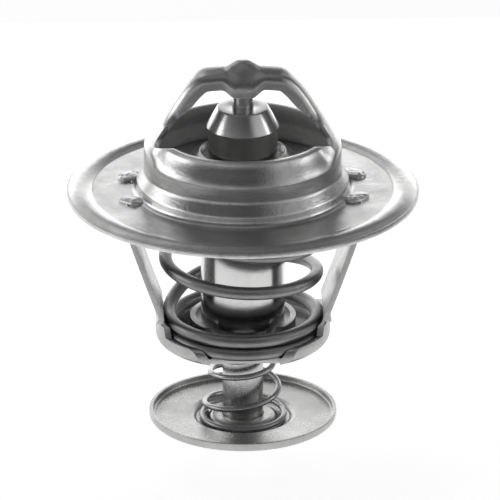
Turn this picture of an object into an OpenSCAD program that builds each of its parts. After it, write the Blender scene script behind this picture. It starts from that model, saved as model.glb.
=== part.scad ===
// Engine coolant thermostat with a bridge, a main valve and a bypass valve.
// Millimetres. The origin is on the axis at the underside of the flange,
// +Z points to the bridge and X runs along the bridge and the two legs.

/* [Flange and neck] */
// Outer diameter of the mounting flange
flange_d = 54; // [50:0.5:60]
// Thickness of the housing sheet
sheet = 0.8; // [0.6:0.05:0.9]
// Width of the pressed bead at the flange edge
bead_w = 3.4; // [2.6:0.1:4]
// Height of the pressed bead
bead_h = 0.45; // [0.3:0.05:0.6]
// Outer diameter of the neck at its top
neck_d = 30.2; // [29:0.1:32]
// Height of the neck, from the top of the flange to the start of the bridge
neck_h = 5.4; // [5.2:0.1:6.5]
// Length of the conical seat in the neck
seat_run = 1.3; // [1:0.1:1.6]
// Diameter of the window lips at the front and the rear
lip_d = 26.6; // [25.6:0.1:28]
// Height of the window lips above the top of the neck
lip_h = 3.8; // [3.4:0.1:4.4]

/* [Bridge] */
// Height of the bridge above the underside of the flange
bridge_h = 20.7; // [19:0.1:24]
// Drop of the crown from its middle to its corners
crown_drop = 0.25; // [0.15:0.05:0.35]
// Lean of the bridge legs from the vertical, in degrees
bridge_lean = 32; // [30:1:35]
// Lean at the top of the shoulders, where the corners start, in degrees
shoulder_a = 50; // [45:1:55]
// Radius of the shoulders at the top of the legs
shoulder_r = 12; // [9:0.5:14]
// Radius of the corners between the shoulders and the crown
corner_r = 3.5; // [3.2:0.1:4]
// Radius of the bend where a bridge leg leaves the neck
foot_r = 3; // [2.5:0.1:4]
// Height of the straight part between the neck and that bend
foot_rise = 1.45; // [1:0.05:1.8]
// Flat width of the crown between its two bends
crown_w = 5; // [4.4:0.1:6]
// Height of the slight arch across the crown
crown_arch = 0.4; // [0.2:0.05:0.6]
// Width of each side wing where it stands folded down
wing_w = 2.6; // [2.2:0.05:2.8]
// Width of each side wing at the foot of the bridge, where it lies flat
wing_foot_w = 1.5; // [1.2:0.05:2]
// Angle that the wings are folded down by
wing_fold = 84; // [70:1:86]
// Extra half width of the bulge round the piston
boss_bulge = 0.75; // [0.4:0.05:1]
// Half length of the bulge round the piston
boss_reach = 3.1; // [2.6:0.1:3.6]
// Height of the hill over the piston
hill_h = 1; // [0.7:0.05:1.2]
// Radius of the hill over the piston
hill_r = 2.9; // [2.6:0.1:3.4]

/* [Piston and guide] */
// Diameter of the piston
piston_d = 3.2; // [2.8:0.1:3.4]
// Depth that the piston end sits in the bridge
piston_seat = 0.7; // [0.5:0.05:0.8]
// Length of the piston
piston_l = 26; // [24:0.5:28]
// Diameter of the flat end of the guide
guide_tip_d = 8; // [7:0.1:9]
// Largest diameter of the guide cone
guide_cone_d = 11.2; // [10.4:0.1:11.6]
// Diameter of the guide barrel
guide_d = 10.7; // [10:0.1:11]
// Height of the guide cone
guide_cone_h = 3.1; // [2:0.1:4]
// Height of the guide above the valve plate
guide_h = 9.2; // [8.4:0.1:10]

/* [Main valve] */
// Thickness of the valve plate
plate_t = 0.8; // [0.6:0.05:1]
// Rise of the plate from its rim to its middle
plate_rise = 1.5; // [1:0.1:2]
// Diameter of the flat middle of the plate
plate_mid_d = 16.4; // [16.2:0.1:17.4]
// Outer diameter of the collar on the plate
collar_d = 15.7; // [15:0.1:16.2]
// Height of the collar
collar_h = 1.95; // [1.6:0.05:2.2]
// Depth of the valve plate's underside below the top of the conical seat
seat_depth = 0.45; // [0.3:0.05:0.6]
// Angle of the conical seat from the vertical, in degrees
seat_a = 35; // [30:1:40]

/* [Wax element] */
// Outer diameter of the wax cup
cup_d = 12.9; // [12.4:0.1:13.2]
// Wall of the wax cup
cup_t = 0.8; // [0.6:0.05:1]
// Depth of the wax cup below the underside of the flange
cup_depth = 24.7; // [23:0.1:26]
// Outer diameter of the rubber boot round the piston
boot_d = 6.2; // [5.6:0.1:7]
// Thickness of the flange of the rubber boot
boot_flange_t = 1.1; // [0.8:0.1:1.4]
// Thickness of the washer between the boot and the guide
washer_t = 0.5; // [0.3:0.1:0.8]
// Diameter of the stem under the cup
stem_d = 6.3; // [5.8:0.1:6.6]

/* [Lower frame] */
// Thickness of the frame sheet
frame_t = 0.85; // [0.7:0.05:0.9]
// Outer diameter of the dish
dish_d = 26.9; // [26.6:0.1:28]
// Depth of the top of the dish floor below the flange
floor_depth = 23.2; // [22.5:0.1:24]
// Height of the dish wall above its floor
wall_h = 1.7; // [1.4:0.1:2]
// Height of the dish wall above its floor at the legs
wall_leg_h = 3.2; // [2.8:0.1:3.6]
// Width of the frame strip
strip_w = 10.6; // [9.6:0.1:11.4]
// How far the foot of each leg steps out round the dish
foot_step = 0.48; // [0.4:0.02:0.6]
// Distance between the outer faces of the legs at the flange
legs_w = 35.7; // [35.3:0.1:36.5]
// Width of the frame strip just under the flange
strip_top_w = 13.2; // [12.6:0.1:14]
// Inner diameter of the centre collar
eye_d = 14.6; // [14.2:0.1:15.4]
// Height of the centre collar above the dish floor
eye_h = 3.1; // [2:0.1:3.4]
// Half depth of the dish floor beside the middle
floor_half = 11.2; // [10.8:0.1:11.8]
// Half depth of the dish floor in the middle
floor_waist = 10.4; // [10:0.1:10.8]
// Distance between the middles of the two prongs of a leg
prong_pitch = 10; // [9.4:0.1:10.4]
// Width of each prong
prong_w = 2.6; // [2.2:0.1:2.8]
// Length of each slot in the flange
slot_l = 4.4; // [4.1:0.1:5]
// Width of each peened prong head
head_w = 2.9; // [2.4:0.1:3.2]
// Length of each peened prong head
head_l = 4.3; // [4:0.1:4.5]
// Turn of each prong head from the line of the slot, in degrees
head_turn = 43; // [30:1:50]
// Height of each peened prong head
head_h = 0.7; // [0.5:0.05:0.9]

/* [Main spring] */
// Diameter of the main spring wire
main_wire = 2; // [1.6:0.05:2]
// Radial clearance of the main spring in the dish
main_gap = 0.2; // [0.15:0.05:0.4]
// Turns of the main spring
main_turns = 4.82; // [4.2:0.02:5.4]

/* [Bypass valve] */
// Distance from the underside of the flange to the rim of the bypass disc
bypass_reach = 35; // [34:0.1:37]
// Diameter of the bypass disc
disc_d = 29; // [27:0.1:31]
// Thickness of the disc sheet
disc_t = 0.6; // [0.5:0.05:0.7]
// Height of the upturned rim of the disc
rim_h = 1.5; // [1.2:0.1:2]
// Outer diameter of the recess in the disc
recess_d = 15.6; // [15:0.1:17]
// Depth of the recess in the disc
recess_depth = 1.45; // [1.2:0.05:1.8]
// Height of the hub in the middle of the recess
hub_h = 0.8; // [0.75:0.05:1.1]
// Thickness of the riveted ring under the hub
ring_t = 0.5; // [0.4:0.05:0.6]
// Diameter of the bypass spring wire
bypass_wire = 0.9; // [0.7:0.05:1]
// Mean diameter of the bypass spring at its top
bypass_top_d = 9.1; // [8.6:0.1:9.6]
// Mean diameter of the bypass spring at its foot
bypass_foot_d = 12.2; // [11.6:0.1:12.6]
// Turns of the bypass spring
bypass_turns = 4.15; // [3.6:0.05:4.6]

/* [Fits] */
// Radial clearance of the piston in the guide
guide_gap = 0.04; // [0.03:0.01:0.08]
// Radial clearance of the disc hub on the stem
hub_gap = 0.06; // [0.04:0.01:0.1]
// Clearance between the valve plate and its seat
seat_gap = 0.05; // [0.03:0.01:0.1]
// Clearance round parts that are clamped together
clamp_gap = 0.03; // [0.02:0.01:0.06]

/* [Hidden] */
$fn = 96;

function smooth(t) = let (u = min(1, max(0, t))) u * u * (3 - 2 * u);
function mix(a, b, t) = a + (b - a) * t;
function left(a) = [-sin(a), cos(a)];

// Points with headings along runs and bends, each step being [run, turn, radius]
function track(steps, p, a, i = 0) =
    i >= len(steps) ? [[p, a]] :
    let (
        run = steps[i][0],
        turn = steps[i][1],
        side = turn >= 0 ? 1 : -1,
        r = steps[i][2] * side,
        q = p + run * [cos(a), sin(a)],
        c = q + r * left(a),
        n = max(2, ceil(abs(turn) / 12)),
        first = run > 0 ? 0 : 1,
        bend = turn == 0 ? [] : [
            for (k = [first : n - 1]) let (b = a + turn * k / n) [c - r * left(b), b]
        ],
        end = turn == 0 ? q : c - r * left(a + turn)
    )
    concat([[p, a]], bend, track(steps, end, a + turn, i + 1));
function last(v) = v[len(v) - 1];
function edge(path, t) = [for (e = path) e[0] + t * left(e[1])];
function reverse(v) = [for (i = [len(v) - 1 : -1 : 0]) v[i]];
// Closed outline of a sheet of thickness t on the left of a path
function sheet_outline(path, t) = concat(edge(path, 0), reverse(edge(path, t)));

// Flange and neck profile, from the rim inwards and up
bead_a = 2 * atan(2 * bead_h / bead_w);
bead_r = bead_w / 2 / sin(bead_a);
bead_steps = [[0.25, -bead_a, 0.4], [0, 2 * bead_a, bead_r], [0, -bead_a, 0.4]];
rim_path = track(bead_steps, [flange_d / 2, sheet], 180);
lower_steps = [[0, -82, 0.9], [0.5, 27, 1.2], [seat_run, -seat_a, 1.5]];
lower_end = last(track(lower_steps, [0, 0], 180))[0];
neck_r = neck_d / 2;
neck_foot_r = neck_r - lower_end[0];
joint_z = sheet + neck_h;
flat_run = last(rim_path)[0][0] - neck_foot_r;
neck_run = neck_h - lower_end[1];
flange_path = track(
    concat(bead_steps, [[flat_run, -82, 0.9], lower_steps[1], lower_steps[2], [neck_run, 0, 0]]),
    [flange_d / 2, sheet], 180
);
// Inner surface at the top of the conical seat
seat_path = track(
    [lower_steps[0], lower_steps[1], [seat_run, 0, 0]], [neck_foot_r, sheet], 180
);
seat_top = last(seat_path)[0] + sheet * left(90 + seat_a);

// Line of the bridge, by the distance l from the top of the neck
l_leg = foot_rise + foot_r * bridge_lean * PI / 180;
leg_x = neck_r - foot_r * (1 - cos(bridge_lean));
leg_z = joint_z + foot_rise + foot_r * sin(bridge_lean);
crown_a = 5;
crown_z = bridge_h - crown_drop;
shoulder_w = shoulder_r * (cos(bridge_lean) - cos(shoulder_a));
shoulder_h = shoulder_r * (sin(shoulder_a) - sin(bridge_lean));
corner_w = corner_r * (cos(shoulder_a) - sin(crown_a));
corner_h = corner_r * (cos(crown_a) - sin(shoulder_a));
leg_run = (crown_z - leg_z - shoulder_h - corner_h) / cos(bridge_lean);
crown_x = leg_x - leg_run * sin(bridge_lean) - shoulder_w - corner_w;
l_shoulder = l_leg + leg_run;
l_corner = l_shoulder + shoulder_r * (shoulder_a - bridge_lean) * PI / 180;
l_crown = l_corner + corner_r * (90 - crown_a - shoulder_a) * PI / 180;
l_mid = l_crown + crown_x;
// Point at the angle b on an arc of radius r that ends at the point [x, z] and the angle e
function arc_point(x, z, r, e, b) = [x + r * (cos(b) - cos(e)), z + r * (sin(b) - sin(e)), b];
// Gives [x, z, angle of the outward normal above the horizontal]
function bridge_line(l) =
    l < foot_rise ? [neck_r, joint_z + l, 0] :
    l < l_leg ? arc_point(leg_x, leg_z, foot_r, bridge_lean, (l - foot_rise) / foot_r * 180 / PI) :
    l < l_shoulder ? let (s = l - l_leg)
        [leg_x - s * sin(bridge_lean), leg_z + s * cos(bridge_lean), bridge_lean] :
    l < l_corner ? arc_point(
        crown_x + corner_w, crown_z - corner_h, shoulder_r, shoulder_a,
        bridge_lean + (l - l_shoulder) / shoulder_r * 180 / PI) :
    l < l_crown ? arc_point(
        crown_x, crown_z, corner_r, 90 - crown_a,
        shoulder_a + (l - l_corner) / corner_r * 180 / PI) :
    let (q = 1 - (l - l_crown) / crown_x)
        [crown_x * q, bridge_h - crown_drop * q * q, 90 - crown_a * q];

// Section across the bridge: half of it as [y, h, tilt], from the middle outwards
crown_n = 5;
bend_n = 3;
bend_w = 0.9;
l_ring = l_leg + 0.4;
flare_w = 0.9;
flare_l = 2;
l_fold = l_leg + 3;
fold_l = 3.8;
function folded(l) = smooth((l - l_fold) / fold_l);
function bump(x) = 1 - smooth(abs(x) / boss_reach);
function half_section(l) =
    let (
        x = l >= l_crown ? l_mid - l : boss_reach,
        s = folded(l),
        a = crown_w / 2,
        arch = crown_arch * mix(0.6, 1, s),
        tilt = atan(2 * arch / a),
        fold = max(tilt, wing_fold * s),
        flare = flare_w * pow(max(0, 1 - (l - l_ring) / flare_l), 2),
        wing = mix(wing_foot_w, wing_w, s) + flare + 0.6 * bump(x) * s,
        w = concat([for (k = [1 : bend_n]) bend_w / bend_n], [wing - bend_w]),
        t = [for (k = [0 : bend_n]) mix(tilt, fold, k / bend_n)],
        d = concat([for (k = [1 : bend_n]) (t[k - 1] + t[k]) / 2], [fold]),
        out = boss_bulge * bump(x) * s
    )
    concat(
        [for (i = [0 : crown_n]) let (q = i / crown_n) [a * q, -arch * q * q, tilt * q]],
        [for (k = [0 : bend_n]) [
            a + sum([for (j = [0 : k]) w[j] * cos(d[j])]) + out * smooth((k + 1) / bend_n),
            -arch - sum([for (j = [0 : k]) w[j] * sin(d[j])]),
            t[min(k + 1, bend_n)]
        ]]
    );
function sum(v, i = 0) = i >= len(v) ? 0 : v[i] + sum(v, i + 1);
half_n = crown_n + bend_n + 1;
cols = 2 * half_n + 1;
function section(l) =
    let (h = half_section(l))
    [for (c = [-half_n : half_n]) let (e = h[abs(c)], s = c < 0 ? -1 : 1) [e[0] * s, e[1], e[2] * s]];

// Height of the hill over the piston
function hill(x, y) = hill_h * (1 - smooth((norm([x, y]) - 0.6) / (hill_r - 0.6)));

// Rows of the bridge from the neck to the middle, closer together where it bends
rows_half = concat(
    [for (i = [1 : 17]) mix(l_ring, l_shoulder, i / 17)],
    [for (i = [1 : 3]) mix(l_shoulder, l_corner, i / 3)],
    [for (i = [1 : 4]) mix(l_corner, l_crown, i / 4)],
    [mix(l_crown, l_mid - boss_reach, 0.55)],
    [for (i = [0 : 8]) mix(l_mid - boss_reach, l_mid, i / 8)]
);
rows_n = len(rows_half);

// A point of the bridge: depth 0 is the outer surface, sheet the inner one
function bridge_point(l, e, depth) =
    let (
        c = bridge_line(l),
        n = [cos(c[2]), sin(c[2])],
        y = e[0],
        s = sin(e[2]),
        yi = y - depth * s,
        up = depth > 0 ? e[1] - depth * cos(e[2]) : e[1] + (l > l_crown ? hill(l_mid - l, y) : 0),
        flat = [c[0] + n[0] * up, yi, c[1] + n[1] * up],
        r = c[0] - depth * n[0],
        az = asin(y / c[0]),
        round = [r * cos(az), r * sin(az), c[1] - depth * n[1]],
        u = smooth((l - l_ring) / 3.2)
    )
    u >= 1 ? flat : mix(round, flat, u);

// The ring under the bridge: legs at the left and right, lips at the front and rear
ring_rows = 6;
window_n = 32;
// Width of the rounded corner between a leg and a lip, in degrees, and its columns
corner_arc = 13;
corner_n = 6;
ring_y = section(l_ring);
ring_r = bridge_line(l_ring)[0];
leg_az = [for (e = ring_y) asin(e[0] / ring_r)];
span = 180 - 2 * last(leg_az);
// Columns along a window, closer together in its corners
lip_step = (span - 2 * corner_arc) / (window_n - 2 * corner_n);
window_az = [
    for (k = [1 : window_n - 1])
        last(leg_az) + (
            k < corner_n ? corner_arc * k / corner_n :
            k > window_n - corner_n ? span - corner_arc * (window_n - k) / corner_n :
            corner_arc + lip_step * (k - corner_n)
        )
];
ring_az = concat(
    leg_az,
    window_az,
    [for (c = [cols - 1 : -1 : 0]) 180 - leg_az[c]],
    [for (a = window_az) 180 + a]
);
ring_n = len(ring_az);
// 1 in the legs, falling to 0 along the lips
function leg_share(az) =
    let (m = abs(((az + 90) % 180) - 90), d = (m - last(leg_az)) / corner_arc)
    d <= 0 ? 1 : d >= 1 ? 0 : pow(1 - d, 2);
function ring_line(t, az) =
    let (
        w = leg_share(az),
        g = bridge_line(l_ring * t),
        lip = [mix(neck_r, lip_d / 2, smooth(t)), joint_z + lip_h * t]
    )
    [mix(lip[0], g[0], w), mix(lip[1], g[1], w)];
function ring_point(k, az, depth) =
    k < 0 ? let (r = neck_r - sheet / 2 + (depth > 0 ? -0.2 : 0.2)) [r * cos(az), r * sin(az), joint_z - 0.5] :
    let (
        t = k / ring_rows,
        p = ring_line(t, az),
        d = ring_line(min(1, t + 0.01), az) - ring_line(max(0, t - 0.01), az),
        n = d / norm(d),
        in_leg = k == ring_rows && leg_share(az) == 1,
        lean = bridge_line(l_ring)[2],
        out = in_leg ? [cos(lean), sin(lean)] : [n[1], -n[0]],
        q = k == 0 ? [neck_r + (depth > 0 ? 0.03 - sheet : -0.03), joint_z + 0.04] : p - depth * out
    )
    [q[0] * cos(az), q[0] * sin(az), q[1]];

// Rows of the bridge over its whole length, with the row before the first left out
bridge_n = 2 * rows_n;
function row_points(i, depth) =
    let (k = min(i, bridge_n - i), s = i <= rows_n ? 1 : -1, l = rows_half[k - 1])
    [for (e = section(l)) let (p = bridge_point(l, e, depth)) [s * p[0], p[1], p[2]]];
function shell_points(depth) = concat(
    [for (k = [-1 : ring_rows]) for (az = ring_az) ring_point(k, az, depth)],
    [for (i = [1 : bridge_n - 1]) for (p = row_points(i, depth)) p]
);
ring_count = (ring_rows + 2) * ring_n;
shell_count = ring_count + (bridge_n - 1) * cols;
top_row = (ring_rows + 1) * ring_n;
left_first = cols + window_n - 1;
// Index of a bridge point, where rows 0 and bridge_n are the top row of the ring
function at(i, c) =
    i == 0 ? top_row + c :
    i == bridge_n ? top_row + left_first + cols - 1 - c :
    ring_count + (i - 1) * cols + c;
function both(q) = concat([q], [[for (v = reverse(q)) v + shell_count]]);
function rim(a, b) = [a, b, b + shell_count, a + shell_count];
lip_cols = concat(
    [for (j = [cols - 1 : left_first - 1]) j],
    [for (j = [left_first + cols - 1 : ring_n - 1]) j]
);
shell_quads = concat(
    [for (k = [0 : ring_rows]) for (j = [0 : ring_n - 1])
        let (a = k * ring_n, b = (j + 1) % ring_n)
        for (q = both([a + j, a + ring_n + j, a + ring_n + b, a + b])) q],
    [for (i = [0 : bridge_n - 1]) for (c = [0 : cols - 2])
        for (q = both([at(i, c), at(i + 1, c), at(i + 1, c + 1), at(i, c + 1)])) q],
    [for (j = [0 : ring_n - 1]) rim(j, (j + 1) % ring_n)],
    [for (j = lip_cols) rim(top_row + (j + 1) % ring_n, top_row + j)],
    [for (i = [0 : bridge_n - 1]) rim(at(i + 1, 0), at(i, 0))],
    [for (i = [0 : bridge_n - 1]) rim(at(i, cols - 1), at(i + 1, cols - 1))]
);
shell_faces = [for (q = shell_quads) for (t = [[q[0], q[1], q[2]], [q[0], q[2], q[3]]]) t];

// Heights along the axis
piston_r = piston_d / 2;
piston_top = bridge_h - sheet + piston_seat;
tip_taper = 0.5;
plate_z = seat_top[1] - seat_depth;
plate_top_z = plate_z + plate_t;
mid_z = plate_z + plate_rise;
mid_top_z = mid_z + plate_t;
cup_r = cup_d / 2;
cup_in_r = cup_r - cup_t;
guide_top_z = plate_z + guide_h + plate_rise + 0.7;
guide_bottom_z = mid_z;
crimp_z = mid_top_z + 0.6;
boot_top_z = guide_bottom_z - washer_t;
stem_r = stem_d / 2;

// Lower frame
dish_r = dish_d / 2;
dish_in_r = dish_r - frame_t;
floor_z = -floor_depth;
leg_face_x = legs_w / 2;
leg_mid_x = leg_face_x - frame_t / 2;
leg_bend_r = 3;

// Bypass disc
rim_z = -bypass_reach;
disc_r = disc_d / 2;
disc_under_z = rim_z - rim_h;
recess_z = disc_under_z - recess_depth + disc_t;
recess_under_z = recess_z - disc_t;
hub_r = stem_r + hub_gap;
hub_bend = 0.45;
step_a = 75;
step_top_r = 0.5;
step_foot_r = 0.2 + disc_t;
step_drop = (step_top_r + step_foot_r) * (1 - cos(step_a));
disc_steps = [
    [rim_h - 0.9, -90, 0.9],
    [disc_r - 0.9 - recess_d / 2 - 0.5, step_a, step_top_r],
    [(recess_depth - step_drop) / sin(step_a), -step_a, step_foot_r]
];
recess_in = last(track(disc_steps, [disc_r, rim_z], 270))[0][0];
hub_a = 80;
hub_rise = (2 * hub_bend + disc_t) * (1 - cos(hub_a));
hub_steps = [
    [0, -hub_a, hub_bend + disc_t],
    [(hub_h - hub_rise) / sin(hub_a), hub_a, hub_bend]
];
hub_shift = last(track(hub_steps, [0, 0], 180))[0][0];
hub_flat_run = 1.1;
disc_full = track(
    concat(
        disc_steps,
        [[recess_in - (hub_r + hub_flat_run - hub_shift), -hub_a, hub_bend + disc_t]],
        [hub_steps[1], [hub_flat_run, 0, 0]]
    ),
    [disc_r, rim_z], 270
);
hub_under_z = recess_under_z + hub_h;
ring_r_out = hub_r + hub_flat_run - 0.15;

// Coil springs, each a ring of points carried along the line of its wire
wire_sides = 8;
wire_steps = 20;
// Share of the way down after u turns, with closed ends and eased starts
function coil_share(u, n, top, foot, ease) =
    let (whole = n - top - foot - ease)
    (u < top ? 0 :
    u < top + ease ? pow(u - top, 2) / 2 / ease :
    u < n - foot - ease ? u - top - ease / 2 :
    u < n - foot ? whole - pow(n - foot - u, 2) / 2 / ease : whole) / whole;
module coil(path, wire) {
    n = len(path);
    points = [
        for (i = [0 : n - 1])
            let (
                f = path[min(i + 1, n - 1)] - path[max(i - 1, 0)],
                t = f / norm(f),
                o = [path[i][0], path[i][1], 0],
                out = o / norm(o),
                up = cross(t, out)
            )
            for (k = [0 : wire_sides - 1])
                path[i] + wire / 2 * (cos(360 * k / wire_sides) * out + sin(360 * k / wire_sides) * up)
    ];
    sides = [
        for (i = [0 : n - 2]) for (k = [0 : wire_sides - 1])
            let (a = i * wire_sides, b = (k + 1) % wire_sides)
            for (t = [
                [a + k, a + wire_sides + k, a + wire_sides + b],
                [a + k, a + wire_sides + b, a + b]
            ]) t
    ];
    ends = concat(
        [for (k = [1 : wire_sides - 2]) [0, k, k + 1]],
        [for (k = [1 : wire_sides - 2]) [0, k + 1, k] + (n - 1) * wire_sides * [1, 1, 1]]
    );
    polyhedron(points = points, faces = concat(sides, ends));
}

// Main spring between the plate and the dish, closed at both ends
main_r = dish_in_r - main_gap - main_wire / 2;
main_end_az = -15;
main_top_z = plate_z - main_wire / 2 - clamp_gap;
main_foot_z = floor_z + main_wire / 2 + clamp_gap;
main_close = main_wire + 0.05;
main_path = [
    for (i = [0 : round(main_turns * wire_steps)])
        let (
            u = i / wire_steps,
            left_u = main_turns - u,
            az = main_end_az - 360 * left_u,
            body = coil_share(u, main_turns, 0.75, 1.1, 0.28),
            rest = main_close * smooth((left_u - 0.22) / 0.82),
            z = mix(main_top_z, main_foot_z + main_close, body) - main_close
        )
        [main_r * cos(az), main_r * sin(az), max(z + mix(main_close, rest, body), main_foot_z)]
];

// Bypass spring between the cup and the disc, wound the other way
bypass_top_z = -cup_depth - bypass_wire / 2 - clamp_gap;
bypass_foot_z = recess_z + bypass_wire / 2 + clamp_gap;
bypass_end_az = 150;
bypass_path = [
    for (i = [0 : round(bypass_turns * wire_steps)])
        let (
            u = i / wire_steps,
            az = bypass_end_az + 360 * (bypass_turns - u),
            share = coil_share(u, bypass_turns, 0.3, 0.35, 0.5),
            r = mix(bypass_top_d, bypass_foot_d, share) / 2
        )
        [r * cos(az), r * sin(az), mix(bypass_top_z, bypass_foot_z, share)]
];

module both_sides() {
    children();
    mirror([1, 0, 0]) children();
}

module front_and_rear() {
    children();
    mirror([0, 1, 0]) children();
}

// One slot in the flange for a prong
module slot() {
    slot_w = frame_t + 0.25;
    translate([leg_mid_x, prong_pitch / 2, 0]) {
        translate([-slot_w / 2, -(slot_l - slot_w) / 2, -sheet]) cube([slot_w, slot_l - slot_w, 3 * sheet]);
        for (s = [-1, 1])
            translate([0, s * (slot_l - slot_w) / 2, -sheet]) cylinder(d = slot_w, h = 3 * sheet);
    }
}

// Flange, neck and bridge, pressed from one sheet
module flange_housing() {
    color("silver")
    difference() {
        union() {
            difference() {
                rotate_extrude() polygon(sheet_outline(flange_path, sheet));
                both_sides() front_and_rear() slot();
            }
            polyhedron(
                points = concat(shell_points(0), shell_points(sheet)),
                faces = shell_faces
            );
        }
        // Socket for the end of the piston
        translate([0, 0, bridge_h - sheet - 2])
            cylinder(r = piston_r + guide_gap, h = 2 + piston_seat - tip_taper);
        translate([0, 0, piston_top - tip_taper - 0.001])
            cylinder(r1 = piston_r + guide_gap, r2 = piston_r + guide_gap - tip_taper, h = tip_taper + 0.03);
    }
}

// Leg of the lower frame, seen along the strip, from the flange down to the dish
foot_joggle = 49;
joggle_r = 0.4;
leg_top_run = 4.2;
foot_over = 0.15;
joggle_in = dish_r + foot_over - foot_step;
joggle_top_z = floor_z + wall_leg_h + 1.5;
// Lean of the legs from the vertical: the line from the foot that meets the bend under the flange
bend_to_foot = [leg_face_x - leg_bend_r - joggle_in, -leg_top_run - joggle_top_z];
leg_lean = atan(bend_to_foot[0] / bend_to_foot[1]) + asin(leg_bend_r / norm(bend_to_foot));
leg_steps = [[leg_top_run, -leg_lean, leg_bend_r]];
leg_start = last(track(leg_steps, [leg_face_x, 0], 270))[0];
foot_run = 1.2;
joggle_steps = [[0, foot_joggle, joggle_r], [0, leg_lean - foot_joggle, joggle_r + frame_t]];
joggle_arcs = last(track(joggle_steps, [0, 0], 270 - leg_lean))[0];
joggle_heading = 270 - leg_lean + foot_joggle;
joggle_run = (foot_step - joggle_arcs[0]) / cos(joggle_heading);
leg_slope_run = (leg_start[1] - joggle_top_z) / cos(leg_lean);
leg_path = track(
    [
        leg_steps[0],
        [leg_slope_run, foot_joggle, joggle_r],
        [joggle_run, leg_lean - foot_joggle, joggle_r + frame_t],
        [foot_run, 0, 0]
    ],
    [leg_face_x, 0], 270
);

module leg_strip() {
    intersection() {
        rotate([90, 0, 0])
            linear_extrude(height = strip_top_w + 4, center = true)
                polygon(sheet_outline(leg_path, -frame_t));
        // The strip widens to the shoulder just under the flange
        rotate([90, 0, 90])
            linear_extrude(height = 2 * leg_face_x)
                polygon([
                    [-strip_top_w / 2, 1], [-strip_top_w / 2, -2.8], [-strip_w / 2, -4.6],
                    [-strip_w / 2, floor_z - 1], [strip_w / 2, floor_z - 1], [strip_w / 2, -4.6],
                    [strip_top_w / 2, -2.8], [strip_top_w / 2, 1]
                ]);
    }
}

// Each tier of a head is [from, to, share of the full size]
head_tiers = [[0, 0.5, 1], [0.5, 0.8, 0.88], [0.8, 1, 0.66]];
head_in = 0.2;
head_gap = 0.02;
// The start of the neck, which the inner end of a head rests on
foot_path = track([lower_steps[0], lower_steps[1]], [neck_foot_r, sheet], 180);
module prong() {
    translate([leg_mid_x - frame_t / 2, prong_pitch / 2 - prong_w / 2, -0.4])
        cube([frame_t, prong_w, 0.4 + sheet + 0.1]);
    // Peened head with worn edges, wider at its foot than at its top
    difference() {
        for (e = head_tiers)
            translate([leg_mid_x - head_in, prong_pitch / 2, sheet + head_gap + e[0] * head_h])
                rotate([0, 0, head_turn])
                    linear_extrude(height = (e[1] - e[0]) * head_h)
                        polygon([
                            for (a = [0 : 24 : 336])
                                e[2] / 2 * (1 - 0.05 * cos(3 * a)) * [head_w * cos(a), head_l * sin(a)]
                        ]);
        rotate_extrude()
            polygon(concat(
                [[neck_foot_r - 3, 0], [neck_foot_r + 1, 0], [neck_foot_r + 1, sheet]],
                [for (i = [1 : len(foot_path) - 1]) edge(foot_path, -head_gap)[i]],
                [[neck_foot_r - 3, sheet + 2 * head_h]]
            ));
    }
}

// Stirrup that carries the foot of the main spring
module lower_frame() {
    dish_path = track(
        [
            [wall_leg_h + frame_t - 1.5, -90, 1.5],
            [dish_r - 1.5 - eye_d / 2 - 1.2, -90, 1.2],
            [eye_h + frame_t - 1.2, 0, 0]
        ],
        [dish_r, floor_z + wall_leg_h], 270
    );
    color("darkgray") {
        union() {
            difference() {
                intersection() {
                    union() {
                        rotate_extrude() polygon(sheet_outline(dish_path, -frame_t));
                        intersection() {
                            both_sides() leg_strip();
                            cylinder_below();
                        }
                    }
                    // Outline of the dish from the side, with the cut wall ends
                    rotate([90, 0, 90])
                        linear_extrude(height = 2 * leg_face_x + 2, center = true)
                            polygon(concat(
                                side_outline(1), reverse([for (p = side_outline(1)) [-p[0], p[1]]])
                            ));
                }
                // Waist of the floor at the front and the rear
                front_and_rear()
                    translate([-strip_w / 2, floor_waist, floor_z - 2 * frame_t])
                        cube([strip_w, dish_r, wall_leg_h + 3 * frame_t]);
            }
            both_sides() front_and_rear() prong();
        }
    }
}

// Keeps the joggle of a leg inside the round of the dish
module cylinder_below() {
    translate([0, 0, floor_z]) cylinder(r = dish_r, h = wall_leg_h + 0.6);
    translate([-leg_face_x - 1, -strip_top_w, floor_z + wall_leg_h + 0.6])
        cube([2 * leg_face_x + 2, 2 * strip_top_w, floor_depth]);
}

function side_outline(s) = concat(
    [[floor_half, floor_z - frame_t - 1], [floor_half, floor_z + 0.3]],
    [for (a = [15 : 15 : 90]) [floor_half - 1.1 * (1 - cos(a)), floor_z + 0.3 + (wall_h - 0.3) * sin(a)]],
    [[strip_w / 2 + 0.6, floor_z + wall_h], [strip_w / 2 + 0.1, floor_z + wall_leg_h - 0.2],
     [strip_w / 2 + 0.1, floor_z + wall_leg_h + 0.5], [strip_top_w / 2 + 1, floor_z + wall_leg_h + 0.5],
     [strip_top_w / 2 + 1, 1]]
);

module main_spring() {
    color("dimgray") coil(main_path, main_wire);
}

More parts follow.
